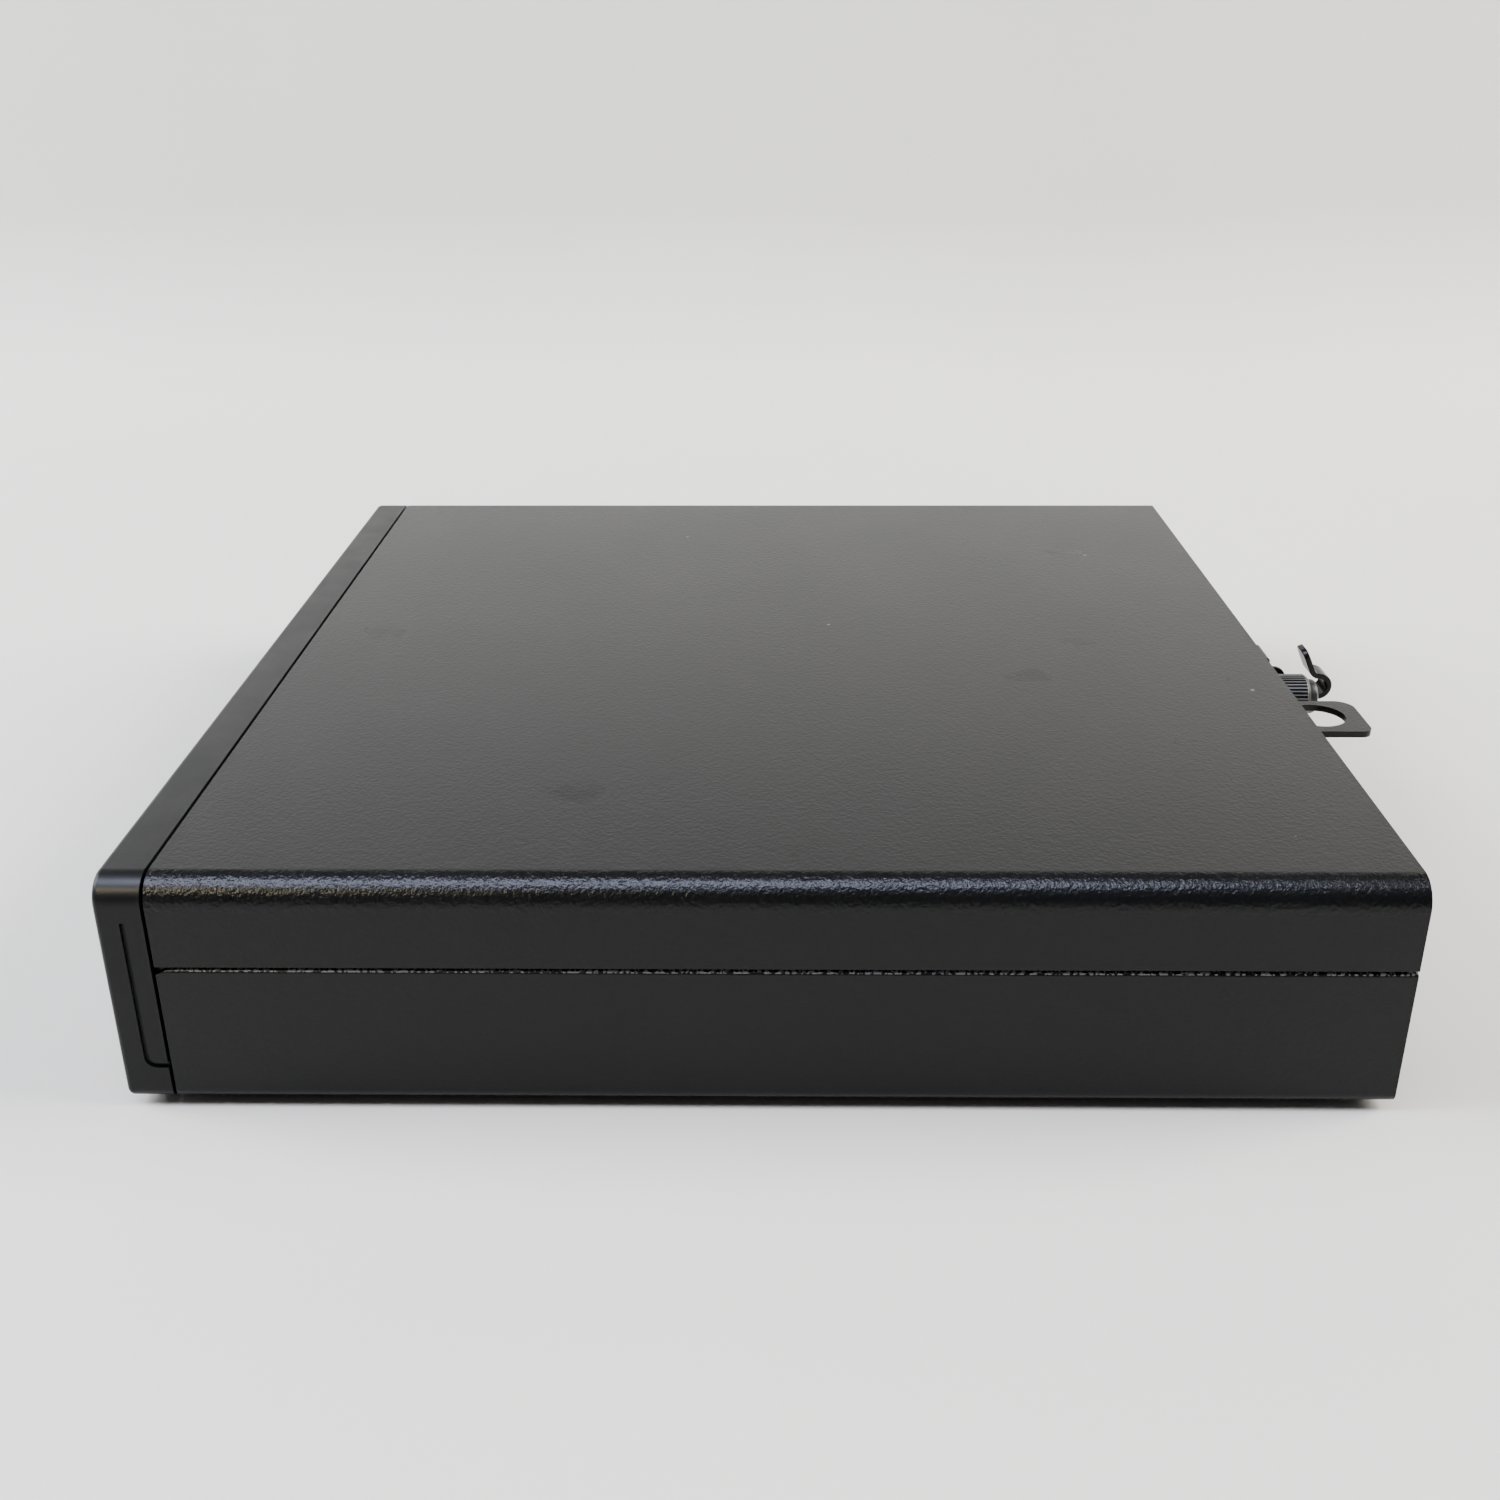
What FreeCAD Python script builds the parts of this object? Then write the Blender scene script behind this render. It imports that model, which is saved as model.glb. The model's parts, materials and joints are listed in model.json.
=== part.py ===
"""A compact desktop computer: a steel pan and sliding cover round a motherboard, cooler, memory and drive.

Millimetres. +X is the computer's right side seen from the front, -Y its front, +Z up. The origin is on the
table, under the middle of the whole object's box, rear hardware included.
"""
import FreeCAD, Part
import math
import os
import re

import Sketcher
from FreeCAD import Placement, Rotation, Vector

doc = FreeCAD.newDocument("compact_computer")
sheet = doc.addObject("Spreadsheet::Sheet", "sizes")
size = {}
subparts = {}


def sizes(title, entries):
    """Write a titled group of driving sizes into the sheet, one alias to a row."""
    row = len(size) + 1
    for alias, value, meaning in entries:
        sheet.set(f"A{row}", f"{title}: {meaning}")
        sheet.set(f"B{row}", str(value))
        sheet.setAlias(f"B{row}", alias)
        size[alias] = value
        row += 1


sizes("case", [
    ("body_width", 177.0, "across the case"),
    ("body_depth", 175.0, "from the bezel's face to the cover's rear edge"),
    ("body_height", 34.3, "from the pan's underside to the cover's top"),
    ("foot_height", 1.4, "how far the rubber feet lift the pan"),
    ("foot_radius", 8.0, "rubber foot"),
    ("foot_inset", 17.0, "foot centre in from the case's edges"),
    ("steel", 0.8, "sheet steel of pan, cover and panels"),
    ("cover_bend", 4.0, "outer radius of the cover's long bends"),
    ("pan_bend", 1.6, "outer radius of the pan's lower bends"),
    ("fold_radius", 0.6, "outer radius of the pan's upper fold"),
    ("skirt_height", 12.9, "cover's side skirt"),
    ("split_gap", 0.4, "gap between skirt and pan"),
    ("slip", 0.3, "gap between sheets that slide on each other"),
    ("fit", 0.2, "gap round a fixed piece in its opening"),
    ("panel_inset", 0.4, "rear panel in from the cover's rear edge"),
    ("panel_flange", 8.0, "rear panel's foot on the pan"),
    ("notch_run", 1.9, "length of the notch at the pan's front corner"),
    ("notch_drop", 0.8, "depth of the notch at the pan's front corner"),
    ("vesa_pitch", 100.0, "square pattern of tapped holes in the pan"),
    ("vesa_radius", 1.7, "tapped hole for a M4 screw"),
    ("floor_vent_width", 3.0, "slot in the pan's floor"),
    ("floor_vent_length", 26.0, "slot in the pan's floor"),
    ("floor_vent_pitch", 6.5, "between the floor's slots"),
])
sizes("bezel", [
    ("bezel_depth", 6.5, "moulding from face to rear edge"),
    ("bezel_gap", 0.5, "between bezel and sheet steel"),
    ("bezel_wall", 1.8, "moulded side walls"),
    ("bezel_face", 2.2, "moulded face"),
    ("bezel_edge", 0.9, "rounding of the face's edges"),
    ("recess_run", 2.4, "side recess forward of the rear edge"),
    ("recess_top", 6.2, "side recess below the top"),
    ("recess_foot", 5.2, "side recess above the underside"),
    ("recess_deep", 0.4, "side recess"),
    ("recess_corner", 1.2, "rounded lower corner of the side recess"),
    ("vent_pitch", 4.0, "between the bezel's slots"),
    ("vent_width", 2.0, "slot"),
    ("vent_margin", 7.5, "first slot in from the side"),
    ("vent_low", 19.4, "slots start above the pan's underside"),
    ("vent_high", 29.6, "slots end above the pan's underside"),
    ("clip_width", 8.0, "snap hook behind the bezel"),
    ("clip_thick", 1.4, "snap hook"),
    ("clip_reach", 5.6, "snap hook behind the bezel's rear edge"),
    ("clip_barb", 0.7, "snap hook's nose"),
    ("clip_offset", 66.0, "snap hook from the middle"),
])
sizes("cover", [
    ("tab_left", 4.2, "rear tab to the left of the thumbscrew's axis"),
    ("tab_right", 8.4, "rear tab to the right of the thumbscrew's axis"),
    ("tab_reach", 0.7, "rear tab's outer face beyond the cover's edge"),
    ("tab_neck", 2.0, "rear tab's bend starts to the right of the thumbscrew's axis"),
    ("tab_relief", 2.6, "rear tab widens this far below the top"),
    ("tab_drop", 15.6, "rear tab below the top"),
    ("tab_bend", 0.6, "rear tab's outer bend radius"),
    ("tongue_offset", 55.0, "front tongue from the middle"),
    ("tongue_width", 12.0, "front tongue"),
    ("tongue_level", 2.4, "front tongue's top below the cover's top"),
    ("tongue_front", 4.0, "front tongue ahead of the cover's edge"),
    ("tongue_back", 6.0, "front tongue behind the cover's edge"),
])
sizes("thumbscrew", [
    ("screw_drop", 10.7, "axis below the top"),
    ("grip_radius", 4.0, "knurled grip"),
    ("grip_start", 2.7, "grip's inner face beyond the cover's edge"),
    ("grip_end", 10.6, "grip's outer end beyond the cover's edge"),
    ("cap_radius", 3.1, "stepped end of the grip"),
    ("cap_end", 12.2, "end of the screw beyond the cover's edge"),
    ("knurl_depth", 0.3, "grooves of the knurl"),
    ("knurl_count", 38, "grooves round the grip"),
    ("neck_radius", 1.42, "plain neck"),
    ("thread_radius", 1.6, "outside of the thread"),
    ("thread_start", 4.3, "thread starts inside the cover's edge"),
    ("thread_length", 4.0, "thread"),
    ("washer_radius", 4.4, "captive collar"),
    ("washer_thick", 1.7, "captive collar"),
    ("bore_gap", 0.08, "running gap round a shaft"),
    ("insert_radius", 2.9, "threaded insert's body"),
    ("insert_flange", 4.2, "threaded insert's flange"),
    ("insert_length", 7.7, "threaded insert"),
])
sizes("rear hardware", [
    ("loop_drop", 8.0, "padlock loop's mid-plane below the top"),
    ("loop_thick", 1.1, "padlock loop's steel"),
    ("loop_left", 9.9, "padlock loop's inner side"),
    ("loop_width", 13.0, "padlock loop"),
    ("loop_reach", 15.0, "padlock loop beyond the cover's edge"),
    ("loop_hole", 4.6, "radius of the shackle hole"),
    ("loop_hole_out", 7.6, "shackle hole beyond the cover's edge"),
    ("loop_hole_side", 6.3, "shackle hole from the loop's inner side"),
    ("loop_corner_left", 3.0, "loop's inner corner radius"),
    ("loop_corner_right", 1.8, "loop's outer corner radius"),
    ("loop_leg", 5.0, "loop's leg behind the panel"),
    ("hook_near", 4.6, "cord hook's inner side, left of the middle"),
    ("hook_width", 5.0, "cord hook's strip"),
    ("hook_thick", 1.0, "cord hook's strip"),
    ("hook_drop", 13.3, "cord hook's underside below the top"),
    ("hook_reach", 16.9, "cord hook beyond the cover's edge"),
    ("hook_curl", 2.5, "outer radius of the hook's curl"),
    ("hook_turn", 65.0, "degrees that the tongue lifts"),
    ("hook_throat", 2.0, "outer radius at the tongue's root"),
    ("hook_tongue", 4.4, "straight tongue"),
    ("ear_reach", 8.2, "cord hook's ear beyond the cover's edge"),
    ("ear_rise", 6.3, "cord hook's ear above its underside"),
    ("plug_x", -62.0, "antenna plug"),
    ("plug_drop", 8.0, "antenna plug below the top"),
    ("plug_radius", 3.2, "antenna plug's hole"),
    ("lock_x", -78.0, "security lock slot"),
    ("lock_drop", 12.0, "security lock slot below the top"),
    ("exhaust_radius", 1.5, "rear vent hole"),
    ("exhaust_pitch", 4.2, "between rear vent holes"),
    ("exhaust_drop", 4.6, "top row of vent holes below the top"),
    ("exhaust_start", 30.0, "first vent hole from the middle"),
    ("exhaust_columns", 13, "vent holes in a row"),
    ("exhaust_rows", 2, "rows of vent holes"),
])
sizes("board", [
    ("standoff", 4.0, "board above the pan's floor"),
    ("standoff_radius", 3.0, "standoff"),
    ("board_thick", 1.6, "motherboard"),
    ("board_width", 168.0, "motherboard"),
    ("board_front", 9.6, "front edge from the bezel's face"),
    ("board_back", 2.6, "rear edge inside the rear panel"),
    ("board_hole", 1.7, "mounting hole"),
    ("board_hole_inset", 5.0, "mounting hole in from the board's sides"),
    ("screw_head", 2.8, "board screw's head radius"),
    ("screw_head_tall", 1.7, "board screw's head"),
    ("screw_shank", 1.3, "board screw's shank radius"),
])
sizes("cooler", [
    ("sink_x", 44.0, "cooler from the middle"),
    ("sink_y", 122.0, "cooler from the bezel's face"),
    ("socket_side", 38.0, "processor socket"),
    ("socket_tall", 3.0, "processor socket"),
    ("package_side", 36.0, "processor's carrier"),
    ("package_tall", 1.2, "processor's carrier"),
    ("lid_side", 28.0, "processor's metal lid"),
    ("lid_tall", 2.0, "processor's metal lid"),
    ("sink_width", 70.0, "heat sink"),
    ("sink_depth", 60.0, "heat sink"),
    ("sink_base", 3.0, "heat sink's base"),
    ("fin_tall", 7.0, "heat sink's fins"),
    ("fin_thick", 0.6, "fin"),
    ("fin_pitch", 2.4, "between fins"),
    ("sink_screw_inset", 4.5, "cooler's screws in from its corners"),
    ("sink_screw_radius", 1.3, "cooler's screws"),
    ("fan_side", 60.0, "fan frame"),
    ("fan_tall", 7.0, "fan frame"),
    ("fan_bore", 27.5, "fan frame's duct radius"),
    ("fan_wall", 1.0, "fan's hub plate and spokes"),
    ("rotor_radius", 26.5, "tip of the blades"),
    ("rotor_tall", 4.6, "rotor"),
    ("hub_radius", 10.0, "rotor's hub"),
    ("hub_cap", 0.8, "rotor's end over the spindle"),
    ("blade_count", 9, "blades"),
    ("blade_thick", 0.9, "blade"),
    ("blade_pitch", 38.0, "degrees that a blade leans"),
    ("spindle_radius", 1.2, "fan's spindle"),
    ("fan_screw_inset", 4.0, "fan's screws in from its corners"),
    ("fan_screw_radius", 1.4, "fan's screws"),
])
sizes("memory", [
    ("memory_x", 44.0, "modules from the middle"),
    ("memory_front", 20.6, "first socket from the bezel's face"),
    ("memory_pitch", 35.6, "from one socket to the next"),
    ("dimm_block_wide", 70.0, "memory socket"),
    ("dimm_block_deep", 7.0, "memory socket"),
    ("dimm_block_tall", 5.4, "memory socket"),
    ("dimm_wide", 67.6, "memory module"),
    ("dimm_deep", 30.0, "memory module"),
    ("dimm_thick", 1.2, "memory module's board"),
    ("dimm_level", 2.6, "module's underside above the board"),
    ("dimm_seat", 4.0, "module's edge inside its socket"),
    ("chip_wide", 12.0, "memory chip"),
    ("chip_deep", 9.0, "memory chip"),
    ("chip_thick", 1.0, "memory chip"),
    ("latch_thick", 1.1, "latch arm"),
    ("latch_tall", 5.6, "latch arm"),
    ("latch_nose", 1.1, "how far the latch hooks over the module"),
    ("latch_nose_deep", 4.0, "length of the hook"),
    ("latch_pivot", 0.7, "latch pivot's radius"),
])
sizes("storage", [
    ("cage_x", -43.0, "drive cage from the middle"),
    ("cage_front", 22.0, "drive cage from the bezel's face"),
    ("cage_depth", 102.0, "drive cage"),
    ("cage_lift", 15.7, "drive above the board"),
    ("cage_side", 6.4, "drive cage's side walls"),
    ("cage_leg", 9.0, "width of each leg"),
    ("cage_foot", 6.0, "length of each foot"),
    ("drive_wide", 69.85, "2.5 inch drive"),
    ("drive_deep", 100.2, "2.5 inch drive"),
    ("drive_tall", 7.0, "2.5 inch drive"),
    ("drive_corner", 2.5, "drive's corner radius"),
    ("card_level", 2.6, "cards above the board"),
    ("card_thick", 0.8, "card's board"),
    ("card_wide", 22.0, "card"),
    ("ssd_x", -62.0, "solid-state card from the middle"),
    ("ssd_front", 34.0, "solid-state card from the bezel's face"),
    ("ssd_deep", 80.0, "solid-state card"),
    ("radio_x", -26.0, "radio card from the middle"),
    ("radio_front", 48.0, "radio card from the bezel's face"),
    ("radio_deep", 30.0, "radio card"),
    ("card_socket_deep", 6.0, "card socket"),
    ("card_socket_tall", 4.2, "card socket"),
    ("card_seat", 3.0, "card's edge inside its socket"),
])
sizes("rear ports", [
    ("port_proud", 0.5, "connectors beyond the rear panel"),
    ("dc_x", 77.0, "power inlet"),
    ("dc_wide", 9.0, "power inlet"),
    ("dc_tall", 11.0, "power inlet"),
    ("dc_deep", 13.0, "power inlet"),
    ("dc_radius", 2.8, "power inlet's barrel"),
    ("dc_pin", 0.5, "power inlet's pin"),
    ("usb_near_x", 59.0, "first double socket"),
    ("usb_far_x", 40.0, "second double socket"),
    ("usb_wide", 14.5, "double socket"),
    ("usb_tall", 15.6, "double socket"),
    ("usb_deep", 17.0, "double socket"),
    ("usb_mouth", 12.5, "mouth's width"),
    ("usb_slot", 5.1, "mouth's height"),
    ("usb_tongue", 1.8, "tongue's thickness"),
    ("ether_x", 17.0, "network socket"),
    ("ether_wide", 16.0, "network socket"),
    ("ether_tall", 13.4, "network socket"),
    ("ether_deep", 19.0, "network socket"),
    ("ether_mouth", 11.8, "mouth's width"),
    ("ether_slot", 8.2, "mouth's height"),
    ("video_near_x", -8.0, "first display socket"),
    ("video_far_x", -30.0, "second display socket"),
    ("video_wide", 18.6, "display socket"),
    ("video_tall", 6.8, "display socket"),
    ("video_deep", 13.0, "display socket"),
    ("video_mouth", 16.2, "mouth's width"),
    ("video_slot", 4.9, "mouth's height"),
    ("blank_x", -54.0, "option port's blanking plate"),
    ("blank_wide", 19.0, "option port's opening"),
    ("blank_tall", 9.0, "option port's opening"),
    ("blank_border", 1.5, "blanking plate behind its opening's edge"),
])
sizes("front ports", [
    ("button_x", 71.5, "power button"),
    ("button_level", 5.0, "power button above the board"),
    ("button_radius", 4.6, "power button"),
    ("button_flange", 5.6, "power button's collar"),
    ("button_stroke", 1.0, "power button's travel"),
    ("button_stem", 1.6, "power button's stem radius"),
    ("switch_front", 12.0, "switch from the bezel's face"),
    ("lamp_x", 61.5, "activity light"),
    ("lamp_radius", 1.0, "activity light"),
    ("jack_near_x", 52.0, "first audio jack"),
    ("jack_far_x", 41.5, "second audio jack"),
    ("jack_side", 6.6, "audio jack's body"),
    ("jack_deep", 12.0, "audio jack's body"),
    ("jack_nose", 2.9, "audio jack's nose radius"),
    ("jack_bore", 1.8, "audio jack's bore radius"),
    ("front_usb_near_x", 26.0, "first front socket"),
    ("front_usb_far_x", 8.0, "second front socket"),
    ("front_usb_wide", 13.4, "front socket"),
    ("front_usb_tall", 6.0, "front socket"),
    ("front_usb_deep", 15.0, "front socket"),
    ("shell", 0.45, "sheet of a front socket's shell"),
    ("small_usb_x", -9.0, "small front socket"),
    ("small_usb_wide", 9.2, "small front socket"),
    ("small_usb_tall", 3.6, "small front socket"),
    ("small_usb_deep", 9.0, "small front socket"),
])
sizes("small pieces", [
    ("speaker_x", -63.6, "loudspeaker"),
    ("speaker_wide", 24.0, "loudspeaker"),
    ("speaker_deep", 9.0, "loudspeaker"),
    ("speaker_tall", 12.0, "loudspeaker"),
    ("cell_x", -62.0, "coin cell"),
    ("cell_y", 142.0, "coin cell from the bezel's face"),
    ("cell_radius", 10.0, "coin cell"),
    ("cell_tall", 3.2, "coin cell"),
    ("chipset_x", -34.0, "controller chip"),
    ("chipset_y", 140.0, "controller chip from the bezel's face"),
    ("chipset_side", 23.0, "controller chip"),
    ("choke_side", 6.5, "choke coil"),
    ("choke_pitch", 8.5, "between choke coils"),
    ("choke_x", 4.0, "row of choke coils"),
    ("choke_y", 100.0, "first choke coil from the bezel's face"),
    ("choke_count", 6, "choke coils"),
    ("capacitor_x", -11.0, "row of capacitors"),
    ("capacitor_y", 131.0, "first capacitor from the bezel's face"),
    ("capacitor_count", 3, "capacitors"),
    ("capacitor_radius", 3.1, "capacitor"),
    ("capacitor_tall", 7.0, "capacitor"),
    ("antenna_wide", 28.0, "antenna"),
    ("antenna_tall", 7.0, "antenna"),
    ("antenna_near_x", -35.0, "first antenna"),
    ("antenna_far_x", -66.0, "second antenna"),
    ("lead_radius", 0.6, "antenna lead"),
])

# Places that several sub-parts share, as expressions of the sheet's sizes.
SIDE = "(body_width / 2)"
FRONT = "(-(body_depth + hook_reach) / 2)"
MIDDLE = f"({FRONT} + body_depth / 2)"
FLOOR = "foot_height"
INSIDE = "(foot_height + steel)"
TOP = "(foot_height + body_height)"
SPLIT = f"({TOP} - skirt_height - split_gap)"
FLANGE = f"({SIDE} - steel - slip)"
FLANGE_TOP = f"({TOP} - cover_bend)"
PANEL_TOP = f"({TOP} - steel - slip)"
COVER_FRONT = f"({FRONT} + bezel_depth + bezel_gap)"
COVER_REAR = f"({FRONT} + body_depth)"
VENT_COUNT = "floor((body_width - 2 * vent_margin) / vent_pitch + 0.01) + 1"
VENT_SPAN = "floor((body_width - 2 * vent_margin) / vent_pitch + 0.01) * vent_pitch"
PLATE = f"({COVER_FRONT} + fit)"
PANEL = f"({COVER_REAR} - panel_inset)"
PANEL_IN = f"({PANEL} - steel)"
BOARD = f"({INSIDE} + standoff)"
BOARD_TOP = f"({BOARD} + board_thick)"
BOARD_FRONT = f"({FRONT} + board_front)"
BOARD_REAR = f"({PANEL_IN} - board_back)"
SCREW_LEVEL = f"({TOP} - screw_drop)"
PORT_FACE = f"({PANEL} + port_proud)"
FRONT_PORT = f"({FRONT} + bezel_face + fit)"
SINK_Y = f"({FRONT} + sink_y)"
SINK_LEVEL = f"({BOARD_TOP} + socket_tall + package_tall + lid_tall)"
FAN_LEVEL = f"({SINK_LEVEL} + sink_base + fin_tall)"
CAGE_LEVEL = f"({BOARD_TOP} + cage_lift)"
CAGE_FRONT = f"({FRONT} + cage_front)"
BUTTON_LEVEL = f"({BOARD_TOP} + button_level)"
SWITCH = f"({FRONT} + switch_front)"
CARD_LEVEL = f"({BOARD_TOP} + card_level)"
TURNS = {"x": Rotation(Vector(0, 1, 0), 90), "y": Rotation(Vector(1, 0, 0), -90), "z": Rotation()}
SKETCH_AXES = {"x": "YZ_Plane", "y": "XZ_Plane", "z": "XY_Plane"}


def linked(text):
    """Turn the size names in an expression into references to the sheet."""
    def reference(found):
        return "sizes." + found.group() if found.group() in size else found.group()
    return re.sub(r"[a-z_]+", reference, str(text))


def less(text):
    """The negative of an expression."""
    return f"(-({text}))"


def subpart(label, thing):
    """Give a finished object the name that its file takes."""
    thing.Label = label
    subparts[label] = thing
    return thing


def box(x, y, z):
    """A box between a low and a high expression on each axis."""
    solid = doc.addObject("Part::Box", "box")
    for length, axis, (low, high) in zip(("Length", "Width", "Height"), "xyz", (x, y, z)):
        solid.setExpression(length, linked(f"({high}) - ({low})"))
        solid.setExpression("Placement.Base." + axis, linked(low))
    return solid


def block(wide, deep, tall, x, y, z):
    """A box centred on x and y that stands on z."""
    return box(
        (f"{x} - ({wide}) / 2", f"{x} + ({wide}) / 2"),
        (f"{y} - ({deep}) / 2", f"{y} + ({deep}) / 2"),
        (z, f"{z} + {tall}"),
    )


def rod(radius, length, x, y, z, along="z"):
    """A cylinder that starts at x, y, z and runs up one axis."""
    solid = doc.addObject("Part::Cylinder", "rod")
    solid.Placement = Placement(Vector(), TURNS[along])
    solid.setExpression("Radius", linked(radius))
    solid.setExpression("Height", linked(length))
    for axis, level in zip("xyz", (x, y, z)):
        solid.setExpression("Placement.Base." + axis, linked(level))
    return solid


def join(*pieces):
    """One solid from several that touch."""
    fused = doc.addObject("Part::MultiFuse", "join")
    fused.Shapes = list(pieces)
    return fused


def cut(base, *tools):
    """The base with every tool taken away."""
    result = doc.addObject("Part::Cut", "cut")
    result.Base = base
    result.Tool = tools[0] if len(tools) == 1 else join(*tools)
    return result


def group(*pieces):
    """Separate solids that share one node."""
    compound = doc.addObject("Part::Compound", "group")
    compound.Links = list(pieces)
    return compound


def sketch(body, normal, level="0"):
    """An empty sketch across one axis, at a level on that axis."""
    drawing = body.newObject("Sketcher::SketchObject", "Sketch")
    plane = next(f for f in body.Origin.OriginFeatures if f.Role == SKETCH_AXES[normal])
    drawing.AttachmentSupport = [(plane, "")]
    drawing.MapMode = "FlatFace"
    offset = less(level) if normal == "y" else level
    drawing.setExpression("AttachmentOffset.Base.z", linked(offset))
    return drawing


def polygon(drawing, corners):
    """A closed outline whose corners are tied to the sheet."""
    first = drawing.GeometryCount
    count = len(corners)
    turn = 2 * math.pi / count
    spots = [Vector(math.cos(turn * i), math.sin(turn * i), 0) for i in range(count)]
    for i in range(count):
        drawing.addGeometry(Part.LineSegment(spots[i], spots[(i + 1) % count]))
    lines = range(first, first + count)
    loop = [Sketcher.Constraint("Coincident", i, 2, lines[(i - first + 1) % count], 1) for i in lines]
    drawing.addConstraint(loop)
    for line, spot, (across, up) in zip(lines, spots, corners):
        places = [
            Sketcher.Constraint("DistanceX", -1, 1, line, 1, spot.x),
            Sketcher.Constraint("DistanceY", -1, 1, line, 1, spot.y),
        ]
        numbers = drawing.addConstraint(places)
        drawing.setExpression(f"Constraints[{numbers[0]}]", linked(across))
        drawing.setExpression(f"Constraints[{numbers[1]}]", linked(up))


def rectangle(drawing, across, up):
    """A rectangle between a low and a high expression each way."""
    (left, right), (low, high) = across, up
    polygon(drawing, [(left, low), (right, low), (right, high), (left, high)])


def circle(drawing, across, up, radius):
    """A circle whose centre and radius are tied to the sheet."""
    number = drawing.addGeometry(Part.Circle(Vector(), Vector(0, 0, 1), 1))
    ties = drawing.addConstraint([
        Sketcher.Constraint("DistanceX", -1, 1, number, 3, 0.0),
        Sketcher.Constraint("DistanceY", -1, 1, number, 3, 0.0),
        Sketcher.Constraint("Radius", number, 1.0),
    ])
    for tie, text in zip(ties, (across, up, radius)):
        drawing.setExpression(f"Constraints[{tie}]", linked(text))


def feature(body, kind, drawing, length):
    """A pad or pocket that runs up the axis from its sketch."""
    result = body.newObject("PartDesign::" + kind, kind)
    result.Profile = drawing
    result.setExpression("Length", linked(length))
    faces_down = drawing.AttachmentSupport[0][0].Role == "XZ_Plane"
    result.Reversed = faces_down if kind == "Pad" else not faces_down
    return result


def pattern(body, original, drawing, span, count, rise="0", rows="1"):
    """Copies of a feature across its sketch, and up it."""
    grid = body.newObject("PartDesign::LinearPattern", "LinearPattern")
    grid.Originals = [original]
    grid.Direction = (drawing, ["H_Axis"])
    grid.setExpression("Length", linked(span))
    grid.setExpression("Occurrences", linked(count))
    if rows != "1":
        grid.Direction2 = (drawing, ["V_Axis"])
        grid.setExpression("Length2", linked(rise))
        grid.setExpression("Occurrences2", linked(rows))
    body.Tip = grid
    return grid


def fillet(body, radius, wanted):
    """Round the edges of the body's last feature that a test picks."""
    doc.recompute()
    base = body.Tip
    bounds = base.Shape.BoundBox
    names = [f"Edge{i + 1}" for i, edge in enumerate(base.Shape.Edges) if wanted(edge, bounds)]
    rounding = body.newObject("PartDesign::Fillet", "Fillet")
    rounding.Base = (base, names)
    rounding.setExpression("Radius", linked(radius))


def runs(edge, axis):
    """Whether an edge is straight and parallel to an axis."""
    if edge.Curve.TypeId != "Part::GeomLine":
        return False
    direction = edge.tangentAt(edge.FirstParameter)
    return abs(abs(getattr(direction, axis)) - 1) < 1e-6


def near(value, target):
    """Whether two lengths are the same."""
    return abs(value - target) < 1e-3


def new_body(label):
    """A PartDesign body that is a sub-part."""
    return subpart(label, doc.addObject("PartDesign::Body", label))


def window(drawing, x, wide, low, high):
    """An opening round a piece, with the fit gap on every side."""
    rectangle(drawing, (f"{x} - {wide} / 2 - fit", f"{x} + {wide} / 2 + fit"),
              (f"{low} - fit", f"{high} + fit"))


def tongue_slots(drawing):
    """Notches that let the cover's tongues through a panel's top edge."""
    for side in ("-", ""):
        x = f"({side}tongue_offset)"
        rectangle(
            drawing,
            (f"{x} - tongue_width / 2 - 2 * slip", f"{x} + tongue_width / 2 + 2 * slip"),
            (f"{TOP} - tongue_level - steel - 2 * slip", f"{TOP}"),
        )


def round_upper_corners(body):
    """Round a panel's two upper corners to clear the inside of the cover's bends."""
    fillet(body, "cover_bend - steel", lambda e, b: runs(e, "y") and near(e.CenterOfMass.z, b.ZMax))


def mirrored(corners):
    """An outline's right half followed by its mirror image."""
    return corners + [(less(x), z) for x, z in reversed(corners)]


# The case.

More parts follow.
